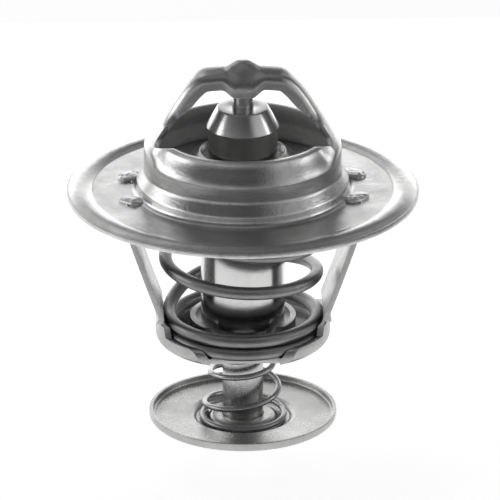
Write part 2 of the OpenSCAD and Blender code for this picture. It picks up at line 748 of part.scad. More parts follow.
// Plate that closes on the conical seat of the neck
module valve_plate() {
    bevel = tan(seat_a) * plate_t;
    plate_r = seat_top[0] + tan(seat_a) * seat_depth - seat_gap;
    rise_a = 40;
    step_r = 0.6;
    run = (plate_rise - (2 * step_r + plate_t) * (1 - cos(rise_a))) / sin(rise_a);
    bends = [[0, -rise_a, step_r + plate_t], [run, rise_a, step_r]];
    step_w = -last(track(bends, [0, 0], 180))[0][0];
    path = track(
        [
            [plate_r - plate_mid_d / 2 - step_w, -rise_a, step_r + plate_t],
            bends[1],
            [plate_mid_d / 2 - cup_r - clamp_gap, 0, 0]
        ],
        [plate_r, plate_z], 180
    );
    color("gray")
    difference() {
        rotate_extrude() polygon(sheet_outline(path, -plate_t));
        // Bevel that meets the seat
        rotate_extrude()
            polygon([
                [plate_r, plate_z], [plate_r - bevel, plate_top_z + 0.0001], [plate_r - bevel, plate_top_z + 1],
                [plate_r + 2, plate_top_z + 1], [plate_r + 2, plate_z]
            ]);
    }
}

// Ring that holds the plate on the cup
module valve_collar() {
    color("lightgray")
    rotate_extrude()
        polygon([
            [cup_r + clamp_gap, mid_top_z + clamp_gap],
            [collar_d / 2 + 0.15, mid_top_z + clamp_gap],
            [collar_d / 2, mid_top_z + collar_h * 0.62],
            [cup_r + 0.2, mid_top_z + collar_h],
            [cup_r + clamp_gap, mid_top_z + collar_h]
        ]);
}

// Guide with the bore that the piston runs in
module guide() {
    foot_r_out = cup_in_r + 0.25;
    color("silver")
    difference() {
        rotate_extrude()
            polygon([
                [0, guide_bottom_z],
                [foot_r_out, guide_bottom_z],
                [foot_r_out, mid_top_z],
                [guide_d / 2, mid_top_z + 0.3],
                [guide_d / 2, guide_top_z - guide_cone_h - 0.3],
                [guide_cone_d / 2, guide_top_z - guide_cone_h],
                [guide_tip_d / 2, guide_top_z - 0.15],
                [guide_tip_d / 2 - 0.15, guide_top_z],
                [0, guide_top_z]
            ]);
        translate([0, 0, guide_bottom_z - 1])
            cylinder(r = piston_r + guide_gap, h = guide_top_z - guide_bottom_z + 2);
    }
}

module piston() {
    color("lightgray")
    rotate_extrude()
        polygon([
            [0, piston_top - piston_l],
            [piston_r - 0.4, piston_top - piston_l],
            [piston_r, piston_top - piston_l + 1.2],
            [piston_r, piston_top - tip_taper],
            [piston_r - tip_taper, piston_top],
            [0, piston_top]
        ]);
}

// Stiff washer that keeps the boot out of the guide bore
module backup_washer() {
    color("white")
    translate([0, 0, boot_top_z + clamp_gap / 2])
        difference() {
            cylinder(r = cup_in_r - clamp_gap, h = washer_t - clamp_gap);
            translate([0, 0, -1]) cylinder(r = piston_r + guide_gap, h = washer_t + 2);
        }
}

// Rubber boot round the piston
module rubber_boot() {
    boot_bottom_z = piston_top - piston_l - 1.4;
    color([0.12, 0.12, 0.12])
    difference() {
        rotate_extrude()
            polygon([
                [0, boot_bottom_z],
                [boot_d / 2 - 0.8, boot_bottom_z],
                [boot_d / 2, boot_bottom_z + 1.6],
                [boot_d / 2, boot_top_z - boot_flange_t - 0.6],
                [boot_d / 2 + 0.6, boot_top_z - boot_flange_t],
                [cup_in_r - clamp_gap, boot_top_z - boot_flange_t],
                [cup_in_r - clamp_gap, boot_top_z],
                [0, boot_top_z]
            ]);
        translate([0, 0, piston_top - piston_l - 0.3])
            cylinder(r = piston_r + 0.06, h = piston_l);
    }
}

// Wax that fills the cup round the boot
module wax_charge() {
    wax_r = cup_in_r - clamp_gap;
    wax_top_z = boot_top_z - boot_flange_t - clamp_gap;
    boot_bottom_z = piston_top - piston_l - 1.4;
    color("khaki")
    rotate_extrude()
        polygon([
            [0, -cup_depth + cup_t + clamp_gap],
            [wax_r - 0.8, -cup_depth + cup_t + clamp_gap],
            [wax_r, -cup_depth + cup_t + 0.8],
            [wax_r, wax_top_z],
            [boot_d / 2 + 0.65, wax_top_z],
            [boot_d / 2 + clamp_gap, wax_top_z - 0.62],
            [boot_d / 2 + clamp_gap, boot_bottom_z + 1.58],
            [boot_d / 2 - 0.78, boot_bottom_z - clamp_gap],
            [0, boot_bottom_z - clamp_gap]
        ]);
}

// Cup that holds the wax, with the crimp that grips the guide
module wax_cup() {
    ledge_r = cup_in_r + 0.25 + clamp_gap;
    color("darkgray")
    rotate_extrude()
        polygon([
            [0, -cup_depth],
            [cup_r - 1.2, -cup_depth],
            [cup_r - 0.35, -cup_depth + 0.35],
            [cup_r, -cup_depth + 1.2],
            [cup_r, mid_z - 1.4],
            [cup_r + 0.7, mid_z - 0.9],
            [cup_r + 0.7, mid_z - clamp_gap],
            [cup_r, mid_z - clamp_gap],
            [cup_r, crimp_z],
            [guide_d / 2 + 0.1, crimp_z],
            [guide_d / 2 + 0.1, mid_top_z + 0.32],
            [ledge_r, mid_top_z + clamp_gap],
            [ledge_r, guide_bottom_z - clamp_gap],
            [cup_in_r, guide_bottom_z - clamp_gap],
            [cup_in_r, -cup_depth + cup_t + 0.8],
            [cup_in_r - 0.8, -cup_depth + cup_t],
            [0, -cup_depth + cup_t]
        ]);
}

// Stem that carries the bypass disc, with its riveted end
module bypass_stem() {
    tail_r = stem_r - 0.5;
    color("darkgray")
    rotate_extrude()
        polygon([
            [0, recess_under_z + 0.1],
            [tail_r - 0.2, recess_under_z + 0.1],
            [tail_r, recess_under_z + 0.3],
            [tail_r, hub_under_z - ring_t - 0.05],
            [tail_r, hub_under_z - clamp_gap],
            [stem_r, hub_under_z - clamp_gap],
            [stem_r, -cup_depth - clamp_gap],
            [0, -cup_depth - clamp_gap]
        ]);
}

// Ring under the hub that stops the disc on the stem
module stem_ring() {
    tail_r = stem_r - 0.5;
    color("silver")
    translate([0, 0, hub_under_z - clamp_gap - ring_t])
        difference() {
            cylinder(r = ring_r_out, h = ring_t - clamp_gap);
            translate([0, 0, -1]) cylinder(r = tail_r + 0.02, h = ring_t + 2);
        }
}

// Disc that closes the bypass, with a rim, a recess for the spring and a hub
module bypass_disc() {
    color("lightgray")
    rotate_extrude() polygon(sheet_outline(disc_full, -disc_t));
}

module bypass_spring() {
    color("gray") coil(bypass_path, bypass_wire);
}

flange_housing();
lower_frame();
main_spring();
valve_plate();
valve_collar();
guide();
piston();
backup_washer();
rubber_boot();
wax_charge();
wax_cup();
bypass_stem();
stem_ring();
bypass_disc();
bypass_spring();
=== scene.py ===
import math

import bmesh
import bpy
import numpy as np
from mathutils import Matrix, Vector, noise


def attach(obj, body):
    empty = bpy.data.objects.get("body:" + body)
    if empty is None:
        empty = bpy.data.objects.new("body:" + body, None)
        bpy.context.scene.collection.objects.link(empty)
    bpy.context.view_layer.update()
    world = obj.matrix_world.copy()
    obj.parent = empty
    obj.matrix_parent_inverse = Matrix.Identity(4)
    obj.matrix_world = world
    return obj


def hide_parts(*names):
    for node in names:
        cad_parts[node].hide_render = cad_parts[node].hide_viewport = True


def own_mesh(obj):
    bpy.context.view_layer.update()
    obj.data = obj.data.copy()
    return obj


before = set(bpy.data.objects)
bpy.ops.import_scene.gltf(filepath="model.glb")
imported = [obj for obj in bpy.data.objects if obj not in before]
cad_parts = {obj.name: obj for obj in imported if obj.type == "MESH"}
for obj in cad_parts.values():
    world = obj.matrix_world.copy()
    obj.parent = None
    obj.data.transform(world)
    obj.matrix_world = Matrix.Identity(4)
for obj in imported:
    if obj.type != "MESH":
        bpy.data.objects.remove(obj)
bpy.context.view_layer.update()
MM = 0.001

# An inline engine thermostat, closed. Sizes are in mm and become metres where a vertex is made.
# z = 0 is the underside of the flange, +z points to the bridge and -y to the front.

# ---------------------------------------------------------------- housing sizes
SHEET = 0.8
FLANGE_R = 27
BEAD_W, BEAD_H, BEAD_EDGE, BEAD_FILLET = 3.4, 0.45, 0.25, 0.4
NECK_R, NECK_H = 15.1, 5.4
JOINT_Z = SHEET + NECK_H
LIP_R, LIP_H = 13.3, 3.8
# headings in the (r, z) plane, and the way from the flange up to the neck as steps of
# (run, turn, radius): the foot's fillet, the bend to the seat's cone, the cone and its end
INWARDS, DOWN = 180, 270
NECK_STEPS = [(0, -82, 0.9), (0.5, 27, 1.2), (1.3, -35, 1.5)]
SEAT_HEADING = INWARDS + NECK_STEPS[0][1] + NECK_STEPS[1][1]
NECK_GAP = 0.02

# bridge line, from the neck's joint over a leg to the crown
BRIDGE_H = 20.7
RISE = 1.45
FOOT_R, SHOULDER_R, CORNER_R = 3.0, 12.0, 3.5
LEAN = math.radians(32)
SHOULDER_A = math.radians(50)
CROWN_TILT = math.radians(5)
CROWN_DROP = 0.25

# bridge section: half width and arch of its middle, the bend, and the wings folded down
FOOT_HALF, CROWN_HALF, BOSS_HALF = 2.5, 2.1, 0.4
ARCH, FOOT_ARCH = 0.4, 0.6
BEND_FOOT, BEND_CROWN, BEND_BOSS = 1.2, 1.8, 4.8
WING_FOOT, WING_W, WING_FOLD = 1.5, 2.85, 84.0
WING_DELAY, WING_GROW = 0.8, 6.0
FOLD_START, FOLD_L = 3, 3.8
FLARE_W, FLARE_L = 0.9, 2.0
# the bulge over the piston
BULGE, DIP = 0.3, 0.7
BOSS_FLAT, BOSS_REACH = 1.4, 3.5
HILL_H, HILL_R, HILL_FLAT = 1.0, 3.2, 0.6

# the ring below the bridge's legs and the lips ends a little above the legs' bend; over
# ROUND_L the bridge then goes from round to straight, and each lip meets a leg in CORNER_ARC
RING_OVER, ROUND_L, CORNER_ARC = 0.4, 3.2, 13

# mesh rows and columns
BEAM_N, BEND_N, WING_N = 8, 14, 4
RING_ROWS, WINDOW_N = 22, 96
ROW_GAP, FINE_L = 0.9, 2.4
TINY = 1e-6


def smooth(t):
    """From 0 to 1 as t does, with level ends."""
    u = min(1.0, max(0.0, t))
    return u * u * (3 - 2 * u)


def mix(a, b, t):
    return a + (b - a) * t


def left(a):
    """Unit vector to the left of heading a."""
    return np.array([-math.sin(math.radians(a)), math.cos(math.radians(a))])


def head(a):
    """Unit vector along heading a."""
    return np.array([math.cos(math.radians(a)), math.sin(math.radians(a))])


def track(steps, p, a, fine=4.0):
    """Points and headings along runs and bends, each step being (run, turn, radius)."""
    p = np.array(p, float)
    out = [(p, a)]
    for run, turn, radius in steps:
        q = p + run * head(a)
        if run > 0 and turn != 0:
            out.append((q, a))
        if turn == 0:
            p = q
            out.append((p, a))
            continue
        r = radius if turn > 0 else -radius
        c = q + r * left(a)
        n = max(3, math.ceil(abs(turn) / fine))
        for k in range(1, n + 1):
            b = a + turn * k / n
            out.append((c - r * left(b), b))
        a += turn
        p = out[-1][0]
    return out


def shift(steps):
    """Where steps end that start inwards from the origin, as (r, z)."""
    return track(steps, (0, 0), INWARDS)[-1][0]


def joggle(run, height, turn, r1, r2):
    """Steps of a run and two opposite bends that offset a sheet by height."""
    a = math.radians(abs(turn))
    slope = (height - (r1 + r2) * (1 - math.cos(a))) / math.sin(a)
    return [(run, turn, r1), (slope, -turn, r2)]


def outline(path, t):
    """Closed outline of a sheet of thickness t to the left of a path."""
    return [tuple(e[0]) for e in path] + [tuple(e[0] + t * left(e[1])) for e in reversed(path)]


# ---------------------------------------------------------------- mesh helpers
WELD = 2e-6
BEVEL_FROM = math.radians(32)
CORNER_FROM = math.radians(16)
CORNER_SHARE = 0.4


def add(name, data):
    """A new object in the scene."""
    ob = bpy.data.objects.new(name, data)
    bpy.context.scene.collection.objects.link(ob)
    return ob


def add_bmesh(name, mesh_name, bm):
    """A new object from a bmesh, which is freed."""
    mesh = bpy.data.meshes.new(mesh_name)
    bm.to_mesh(mesh)
    bm.free()
    return add(name, mesh)


def sharper(edge, angle):
    """Whether an edge between two faces is bent by more than angle."""
    return len(edge.link_faces) == 2 and edge.calc_face_angle(0) > angle


def dress(ob, mat, body, replaces=(), angle=35, bevel=0.0):
    """Welds, bevels and shades a mesh, gives it its material, hangs it on its body and hides the
    CAD parts it replaces.
    """
    bm = bmesh.new()
    bm.from_mesh(ob.data)
    bmesh.ops.remove_doubles(bm, verts=bm.verts, dist=WELD)
    bmesh.ops.recalc_face_normals(bm, faces=bm.faces)
    if bevel > 0:
        bmesh.ops.bevel(
            bm, geom=[e for e in bm.edges if sharper(e, BEVEL_FROM)], offset=bevel * MM,
            segments=2, profile=0.6, affect="EDGES", clamp_overlap=True,
        )
    for f in bm.faces:
        f.smooth = True
    for e in bm.edges:
        e.smooth = not sharper(e, math.radians(angle))
    bm.to_mesh(ob.data)
    bm.free()
    ob.data.materials.clear()
    ob.data.materials.append(mat)
    if body:
        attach(ob, body)
    if replaces:
        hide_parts(*replaces)
    return ob


def make(name, verts, faces, mat, body, replaces=(), slot=None, angle=35, bevel=0.0):
    mesh = bpy.data.meshes.new(name)
    mesh.from_pydata([tuple(v) for v in verts], [], faces)
    mesh.validate()
    return dress(add(name, mesh), mat, body, replaces, angle, bevel)


def soften(pts, r):
    """Closed outline of (r, z) with its corners cut round by r; points on the axis stay."""
    out = []
    n = len(pts)
    for i in range(n):
        a, b, c = (np.array(pts[(i + k) % n], float) for k in (-1, 0, 1))
        if b[0] < TINY:
            out.append(tuple(b))
            continue
        u, v = a - b, c - b
        lu, lv = np.linalg.norm(u), np.linalg.norm(v)
        if lu < TINY or lv < TINY:
            continue
        turn = math.acos(max(-1, min(1, -(u @ v) / lu / lv)))
        if turn < CORNER_FROM:
            out.append(tuple(b))
            continue
        d = min(r, lu * CORNER_SHARE, lv * CORNER_SHARE)
        p, q = b + u / lu * d, b + v / lv * d
        for t in (0, 0.33, 0.67, 1):
            out.append(tuple((1 - t) ** 2 * p + 2 * t * (1 - t) * b + t * t * q))
    return out


def lathe(name, pts, mat, body, replaces, slot, seg=220, round_by=0.07):
    """A closed outline of (r, z) turned round the axis."""
    verts, rows = [], []
    for r, z in soften(pts, round_by):
        start = len(verts)
        if r < TINY:
            verts.append((0, 0, z * MM))
            rows.append([start] * seg)
            continue
        for k in range(seg):
            a = 2 * math.pi * k / seg
            verts.append((r * math.cos(a) * MM, r * math.sin(a) * MM, z * MM))
        rows.append(list(range(start, start + seg)))
    faces = []
    for i, a in enumerate(rows):
        b = rows[(i + 1) % len(rows)]
        if a[0] == a[1] and b[0] == b[1]:
            continue
        for k in range(seg):
            j = (k + 1) % seg
            corners = list(dict.fromkeys((a[k], a[j], b[j], b[k])))
            if len(corners) > 2:
                faces.append(corners)
    return make(name, verts, faces, mat, body, replaces, slot)


# ---------------------------------------------------------------- shader helpers
def feed(nt, sock, v):
    """Links a socket to another, or sets it to a number, a vector or a colour."""
    if isinstance(v, bpy.types.NodeSocket):
        nt.links.new(v, sock)
    elif sock.type == "RGBA":
        sock.default_value = (*([v] * 3 if isinstance(v, (int, float)) else v), 1)
    else:
        sock.default_value = v


def node(nt, kind, inputs=(), **settings):
    """A new shader node with its settings and its (socket, value) inputs."""
    n = nt.nodes.new("ShaderNode" + kind)
    for key, v in settings.items():
        setattr(n, key, v)
    for sock, v in inputs:
        feed(nt, n.inputs[sock], v)
    return n


def calc(nt, op, a, b=None, clamp=False):
    inputs = [(0, a)] if b is None else [(0, a), (1, b)]
    return node(nt, "Math", inputs, operation=op, use_clamp=clamp).outputs[0]


def dot(nt, a, b):
    return node(nt, "VectorMath", [(0, a), (1, b)], operation="DOT_PRODUCT").outputs["Value"]


def parts_of(nt, vec):
    return node(nt, "SeparateXYZ", [(0, vec)]).outputs


def mix_col(nt, fac, a, b, mode="MIX"):
    inputs = [(0, fac), (6, a), (7, b)]
    return node(nt, "Mix", inputs, data_type="RGBA", blend_type=mode).outputs[2]


def fade(nt, sock, start, end, top=1.0):
    """Rises smoothly from 0 at start to top at end."""
    inputs = [("From Min", start), ("From Max", end), ("To Max", top), ("Value", sock)]
    return node(nt, "MapRange", inputs, interpolation_type="SMOOTHSTEP").outputs["Result"]


def ramp(nt, fac, stops):
    """A line through (place, grey) stops, read at fac."""
    n = node(nt, "ValToRGB", [(0, fac)])
    band = n.color_ramp.elements
    band.remove(band[-1])
    for i, (pos, tone) in enumerate(stops):
        e = band.new(pos) if i else band[0]
        e.position = pos
        e.color = (tone, tone, tone, 1)
    return n.outputs[0]


def noise_tex(nt, coord, scale, detail, rough, stretch=None, dist=0.0):
    if stretch:
        coord = node(nt, "Mapping", [("Scale", stretch), ("Vector", coord)]).outputs["Vector"]
    return node(nt, "TexNoise", [
        ("Scale", scale), ("Detail", detail), ("Roughness", rough), ("Distortion", dist),
        ("Vector", coord)]).outputs["Fac"]


def weighted(nt, parts):
    """Sum of (socket, weight) parts."""
    total = None
    for sock, weight in parts:
        part = calc(nt, "MULTIPLY", sock, weight)
        total = part if total is None else calc(nt, "ADD", total, part)
    return total


def polar(nt, obj):
    """Texture space that runs round the axis, (angle, radius, height), and the radius in mm."""
    x, y, z = parts_of(nt, obj)
    square = calc(nt, "ADD", calc(nt, "MULTIPLY", x, x), calc(nt, "MULTIPLY", y, y))
    radius = calc(nt, "MULTIPLY", calc(nt, "SQRT", square), 1000)
    height = calc(nt, "MULTIPLY", z, 1000)
    space = node(nt, "CombineXYZ", [(0, calc(nt, "ARCTAN2", y, x)), (1, radius), (2, height)])
    return space.outputs[0], radius


def material(name):
    m = bpy.data.materials.new(name)
    m.use_nodes = True
    return m, m.node_tree, m.node_tree.nodes["Principled BSDF"]


def set_bump(nt, bsdf, height, strength, distance):
    b = node(nt, "Bump", [("Strength", strength), ("Distance", distance), ("Height", height)])
    feed(nt, bsdf.inputs["Normal"], b.outputs[0])


# ---------------------------------------------------------------- materials
BLOT_SCALE, CLOUD_SCALE, SPECK_SCALE = 160, 60, 2600
LINE_STRETCH, HAIR_STRETCH = (2.0, 9.0, 9.0), (26.0, 1.2, 1.2)
# strength of a painted shade line on the bead's crease radius, and its fall per mm away from it
PAINTED_SHADE_DEPTH, PAINTED_SHADE_FALL = 0.42, 4.0
# radius of the painted shade line, at the bead's inner step
BEAD_SHADE_R = 23.05
# the bore is what faces the axis inside BORE_R; its skin is less of a metal
BORE_R, BORE_GAIN, BORE_METAL_LOSS = 16.5, -400, 0.45
# what the blotches and scratches add to the roughness on average
BLOT_ROUGH, SCRATCH_ROUGH = 0.17, 0.15
STEEL_RELIEF, PLAIN_RELIEF = 0.0002, 0.0001


def steel(name, base, rough, turned=0.0, stain=0.25, grain=0.12, scratch=0.3, bump=0.15,
          fine=1.0, brushed=0.0, shade_line_r=0.0, inner=0.0):
    """Pressed or turned steel: blotches, drawing lines, specks, fine scratches.

    shade_line_r is the radius in mm of a dark line of painted shade, inner the extra dullness of
    the bore.
    """
    m, nt, bsdf = material(name)
    tex = node(nt, "TexCoord").outputs
    obj = tex["Object"]
    space, radius = polar(nt, obj)
    blot = noise_tex(nt, obj, BLOT_SCALE * fine, 5, 0.62)
    cloud = noise_tex(nt, obj, CLOUD_SCALE * fine, 3, 0.5, dist=0.6)
    speck = noise_tex(nt, obj, SPECK_SCALE, 4, 0.75)
    lines = noise_tex(nt, space, 1.0, 4, 0.6, stretch=LINE_STRETCH)
    hair = noise_tex(nt, space, 1.0, 3, 0.8, stretch=HAIR_STRETCH)

    # each texture darkens the base tone to a share of it
    col = base
    for sock, stops, amount, share in (
        (blot, [(0.38, 0.0), (0.62, 1.0)], stain, 0.62),
        (cloud, [(0.35, 0.0), (0.7, 1.0)], stain * 0.8, 0.8),
        (speck, [(0.30, 1.0), (0.42, 0.0)], grain, 0.35),
        (lines, [(0.35, 0.0), (0.65, 1.0)], turned * 0.5, 0.7),
    ):
        fac = calc(nt, "MULTIPLY", ramp(nt, sock, stops), amount)
        col = mix_col(nt, fac, col, [v * share for v in base])
    # painted shade: the colour darkens in a thin line round the given radius, where the bead's
    # step falls into shade
    if shade_line_r:
        away = calc(nt, "ABSOLUTE", calc(nt, "SUBTRACT", radius, shade_line_r))
        fall = calc(nt, "MULTIPLY", away, PAINTED_SHADE_FALL)
        line = calc(nt, "SUBTRACT", PAINTED_SHADE_DEPTH, fall, clamp=True)
        col = mix_col(nt, line, col, [v * 0.25 for v in base])
    feed(nt, bsdf.inputs["Base Color"], col)

    metal = 1.0
    dull = weighted(nt, [(blot, 0.35), (hair, scratch * 0.3)])
    dull = calc(nt, "ADD", dull, rough - BLOT_ROUGH - scratch * SCRATCH_ROUGH, clamp=True)
    if inner:
        level = node(nt, "VectorMath", [(0, obj), (1, (1, 1, 0))], operation="MULTIPLY").outputs[0]
        inside = calc(nt, "MULTIPLY", dot(nt, level, tex["Normal"]), BORE_GAIN, clamp=True)
        inside = calc(nt, "MULTIPLY", inside, calc(nt, "LESS_THAN", radius, BORE_R))
        dull = calc(nt, "ADD", dull, calc(nt, "MULTIPLY", inside, inner), clamp=True)
        metal = calc(nt, "SUBTRACT", 1.0, calc(nt, "MULTIPLY", inside, BORE_METAL_LOSS))
    feed(nt, bsdf.inputs["Metallic"], metal)
    feed(nt, bsdf.inputs["Roughness"], dull)
    if brushed:
        tangent = node(nt, "Tangent", direction_type="RADIAL", axis="Z").outputs[0]
        feed(nt, bsdf.inputs["Anisotropic"], brushed)
        feed(nt, bsdf.inputs["Tangent"], tangent)

    height = weighted(
        nt, [(lines, turned), (speck, grain * 1.2), (hair, scratch * 0.35), (blot, 0.5)])
    set_bump(nt, bsdf, height, bump, STEEL_RELIEF)
    return m


def plain(name, col, rough):
    """A dull filling, seen only when the part is taken apart."""
    m, nt, bsdf = material(name)
    spots = noise_tex(nt, node(nt, "TexCoord").outputs["Object"], 900, 4, 0.6)
    fac = calc(nt, "MULTIPLY", spots, 0.1)
    feed(nt, bsdf.inputs["Base Color"], mix_col(nt, fac, col, [v * 0.6 for v in col]))
    dull = calc(nt, "ADD", calc(nt, "MULTIPLY", spots, 0.2), rough - 0.1)
    feed(nt, bsdf.inputs["Roughness"], dull)
    set_bump(nt, bsdf, spots, 0.15, PLAIN_RELIEF)
    return m


# the housing's bead gets a painted shade line along its crease
M_HOUSING = steel(
    "housing_steel", (0.76, 0.76, 0.755), 0.17, turned=0.35, stain=0.6, grain=0.6, scratch=0.6,
    bump=0.26, brushed=0.2, shade_line_r=BEAD_SHADE_R, inner=0.3)
M_FRAME = steel(
    "frame_steel", (0.52, 0.52, 0.515), 0.30, stain=0.5, grain=0.7, scratch=0.5, bump=0.4)
M_SPRING = steel(
    "spring_steel", (0.29, 0.29, 0.295), 0.32, stain=0.5, grain=0.6, scratch=0.3, bump=0.4)
M_PLATE = steel(
    "plate_steel", (0.50, 0.50, 0.50), 0.34, turned=0.3, stain=0.4, grain=0.3, bump=0.25)
M_BRIGHT = steel(
    "turned_steel", (0.78, 0.78, 0.775), 0.20, turned=0.4, stain=0.2, grain=0.15, scratch=0.2,
    bump=0.16)
M_PISTON = steel(
    "piston_steel", (0.62, 0.62, 0.625), 0.18, turned=0.2, stain=0.15, grain=0.1, bump=0.08)
M_CUP = steel(
    "cup_steel", (0.70, 0.70, 0.695), 0.16, turned=0.2, grain=0.3, scratch=0.15, bump=0.1)
M_STEM = steel(
    "stem_steel", (0.62, 0.62, 0.615), 0.26, turned=0.3, stain=0.35, grain=0.35, bump=0.2)
M_DISC = steel(
    "disc_steel", (0.51, 0.51, 0.505), 0.28, turned=0.2, stain=0.3, grain=0.5, bump=0.35)
M_BYPASS = steel("bypass_wire", (0.40, 0.40, 0.405), 0.28, stain=0.35, grain=0.3, bump=0.2)
M_HEAD = steel(
    "peened_steel", (0.90, 0.90, 0.895), 0.32, stain=0.3, grain=0.7, bump=0.45, fine=1.6)
M_RUBBER = plain("boot_rubber", (0.03, 0.03, 0.03), 0.7)
M_WAX = plain("wax_fill", (0.62, 0.55, 0.38), 0.6)
M_WASHER = plain("washer_plastic", (0.82, 0.82, 0.80), 0.5)

# ---------------------------------------------------------------- bridge
# centres of the bends and the distances along the line at which its parts begin
LEG_X = NECK_R - FOOT_R * (1 - math.cos(LEAN))
LEG_Z = JOINT_Z + RISE + FOOT_R * math.sin(LEAN)
CROWN_Z = BRIDGE_H - CROWN_DROP
SHOULDER_W = SHOULDER_R * (math.cos(LEAN) - math.cos(SHOULDER_A))
SHOULDER_H = SHOULDER_R * (math.sin(SHOULDER_A) - math.sin(LEAN))
CORNER_W = CORNER_R * (math.cos(SHOULDER_A) - math.sin(CROWN_TILT))
CORNER_H = CORNER_R * (math.cos(CROWN_TILT) - math.sin(SHOULDER_A))
LEG_RUN = (CROWN_Z - LEG_Z - SHOULDER_H - CORNER_H) / math.cos(LEAN)
CROWN_X = LEG_X - LEG_RUN * math.sin(LEAN) - SHOULDER_W - CORNER_W
L_LEG = RISE + FOOT_R * LEAN
L_SHOULDER = L_LEG + LEG_RUN
L_CORNER = L_SHOULDER + SHOULDER_R * (SHOULDER_A - LEAN)
L_CROWN = L_CORNER + CORNER_R * (math.pi / 2 - CROWN_TILT - SHOULDER_A)
L_MID = L_CROWN + CROWN_X
L_RING = L_LEG + RING_OVER
L_FOLD = L_LEG + FOLD_START


def arc_point(x, z, r, end, b):
    """The point at angle b on an arc that ends at (x, z) with the angle end."""
    return x + r * (math.cos(b) - math.cos(end)), z + r * (math.sin(b) - math.sin(end)), b


def bridge_line(d):
    """The bridge's middle line at distance d: x, z and the angle of the outward normal."""
    if d < RISE:
        return NECK_R, JOINT_Z + d, 0.0
    if d < L_LEG:
        return arc_point(LEG_X, LEG_Z, FOOT_R, LEAN, (d - RISE) / FOOT_R)
    if d < L_SHOULDER:
        run = d - L_LEG
        return LEG_X - run * math.sin(LEAN), LEG_Z + run * math.cos(LEAN), LEAN
    if d < L_CORNER:
        b = LEAN + (d - L_SHOULDER) / SHOULDER_R
        return arc_point(CROWN_X + CORNER_W, CROWN_Z - CORNER_H, SHOULDER_R, SHOULDER_A, b)
    if d < L_CROWN:
        b = SHOULDER_A + (d - L_CORNER) / CORNER_R
        return arc_point(CROWN_X, CROWN_Z, CORNER_R, math.pi / 2 - CROWN_TILT, b)
    q = 1 - (d - L_CROWN) / CROWN_X
    return CROWN_X * q, BRIDGE_H - CROWN_DROP * q * q, math.pi / 2 - CROWN_TILT * q


def boss_share(x):
    """1 over the piston, 0 beyond the bulge."""
    return 1 - smooth((abs(x) - BOSS_FLAT) / (BOSS_REACH - BOSS_FLAT))


def half_section(d):
    """The sheet from its middle to a wing's edge, as (across, up, tilt)."""
    s = smooth((d - L_FOLD) / FOLD_L)
    m = boss_share(L_MID - d if d >= L_CROWN else BOSS_REACH) * s
    a = mix(mix(FOOT_HALF, CROWN_HALF, s), BOSS_HALF, m)
    arch = ARCH * mix(FOOT_ARCH, 1, s) * (a / FOOT_HALF) ** 2
    tilt = math.degrees(math.atan(2 * arch / a))
    fold = max(tilt, WING_FOLD * s)
    # the wing starts wide, where the window's corner runs into the leg
    e = max(0.0, 1 - (d - L_RING) / FLARE_L)
    flare = FLARE_W * (0.5 * e * e + 0.5 * (1 - math.sqrt(max(0.0, 1 - e ** 2.5))))
    wing = mix(WING_FOOT, WING_W, smooth((d - L_FOLD - WING_DELAY) / WING_GROW)) + flare
    bend = mix(BEND_FOOT, BEND_CROWN, s)
    rest = mix(wing - bend, DIP, m)
    bend = mix(bend, BEND_BOSS, m)
    out = BULGE * m

    pts = []
    for i in range(BEAM_N + 1):
        q = i / BEAM_N
        pts.append((a * q, -arch * q * q, tilt * q))
    y, h = a, -arch
    for k in range(BEND_N):
        t0, t1 = mix(tilt, fold, k / BEND_N), mix(tilt, fold, (k + 1) / BEND_N)
        way = math.radians((t0 + t1) / 2)
        y += bend / BEND_N * math.cos(way)
        h -= bend / BEND_N * math.sin(way)
        pts.append((y + out * smooth((k + 1) / BEND_N), h, t1))
    way = math.radians(fold)
    for k in range(1, WING_N + 1):
        w = rest * k / WING_N
        pts.append((y + w * math.cos(way) + out, h - w * math.sin(way), fold))
    return pts


HALF = BEAM_N + BEND_N + WING_N
COLS = 2 * HALF + 1


def section(d):
    """The whole section, from wing to wing, with the tilt in radians."""
    half = half_section(d)
    out = []
    for c in range(-HALF, HALF + 1):
        across, up, tilt = half[abs(c)]
        side = -1 if c < 0 else 1
        out.append((across * side, up, math.radians(tilt) * side))
    return out


def hill(x, y):
    """Height of the round rise over the piston, on the outer skin only."""
    return HILL_H * (1 - smooth((math.hypot(x, y) - HILL_FLAT) / (HILL_R - HILL_FLAT)))


def bridge_point(d, place, depth):
    """A point of the bridge: round the axis at the foot, straight across further up."""
    cx, cz, b = bridge_line(d)
    nx, nz = math.cos(b), math.sin(b)
    across, up, tilt = place
    if depth > 0:
        up -= depth * math.cos(tilt)
    elif d > L_CROWN:
        up += hill(L_MID - d, across)
    flat = (cx + nx * up, across - depth * math.sin(tilt), cz + nz * up)
    u = smooth((d - L_RING) / ROUND_L)
    if u >= 1:
        return flat
    r = cx - depth * nx
    az = math.asin(across / cx)
    turned = (r * math.cos(az), r * math.sin(az), cz - depth * nz)
    return tuple(mix(p, q, u) for p, q in zip(turned, flat))


# distances of the bridge's rows, from the ring to the middle
ROWS = []
row_from = L_RING
for row_to, count in (
    (L_RING + FINE_L, 10), (L_SHOULDER, 20), (L_CORNER, 8), (L_CROWN, 8),
    (L_MID - BOSS_REACH, 8), (L_MID - BOSS_FLAT, 14), (L_MID, 10),
):
    ROWS += [mix(row_from, row_to, i / count) for i in range(1, count + 1)]
    row_from = row_to

# ---------------------------------------------------------------- ring of lips and legs
ring_r = bridge_line(L_RING)[0]
leg_az = [math.degrees(math.asin(place[0] / ring_r)) for place in section(L_RING)]
EDGE_AZ = leg_az[-1]
window = [(180 - 2 * EDGE_AZ) * k / WINDOW_N for k in range(1, WINDOW_N)]
ring_az = (
    leg_az
    + [EDGE_AZ + w for w in window]
    + [180 - az for az in reversed(leg_az)]
    + [180 + EDGE_AZ + w for w in window]
)
RING_N = len(ring_az)
NEAR = 0.01


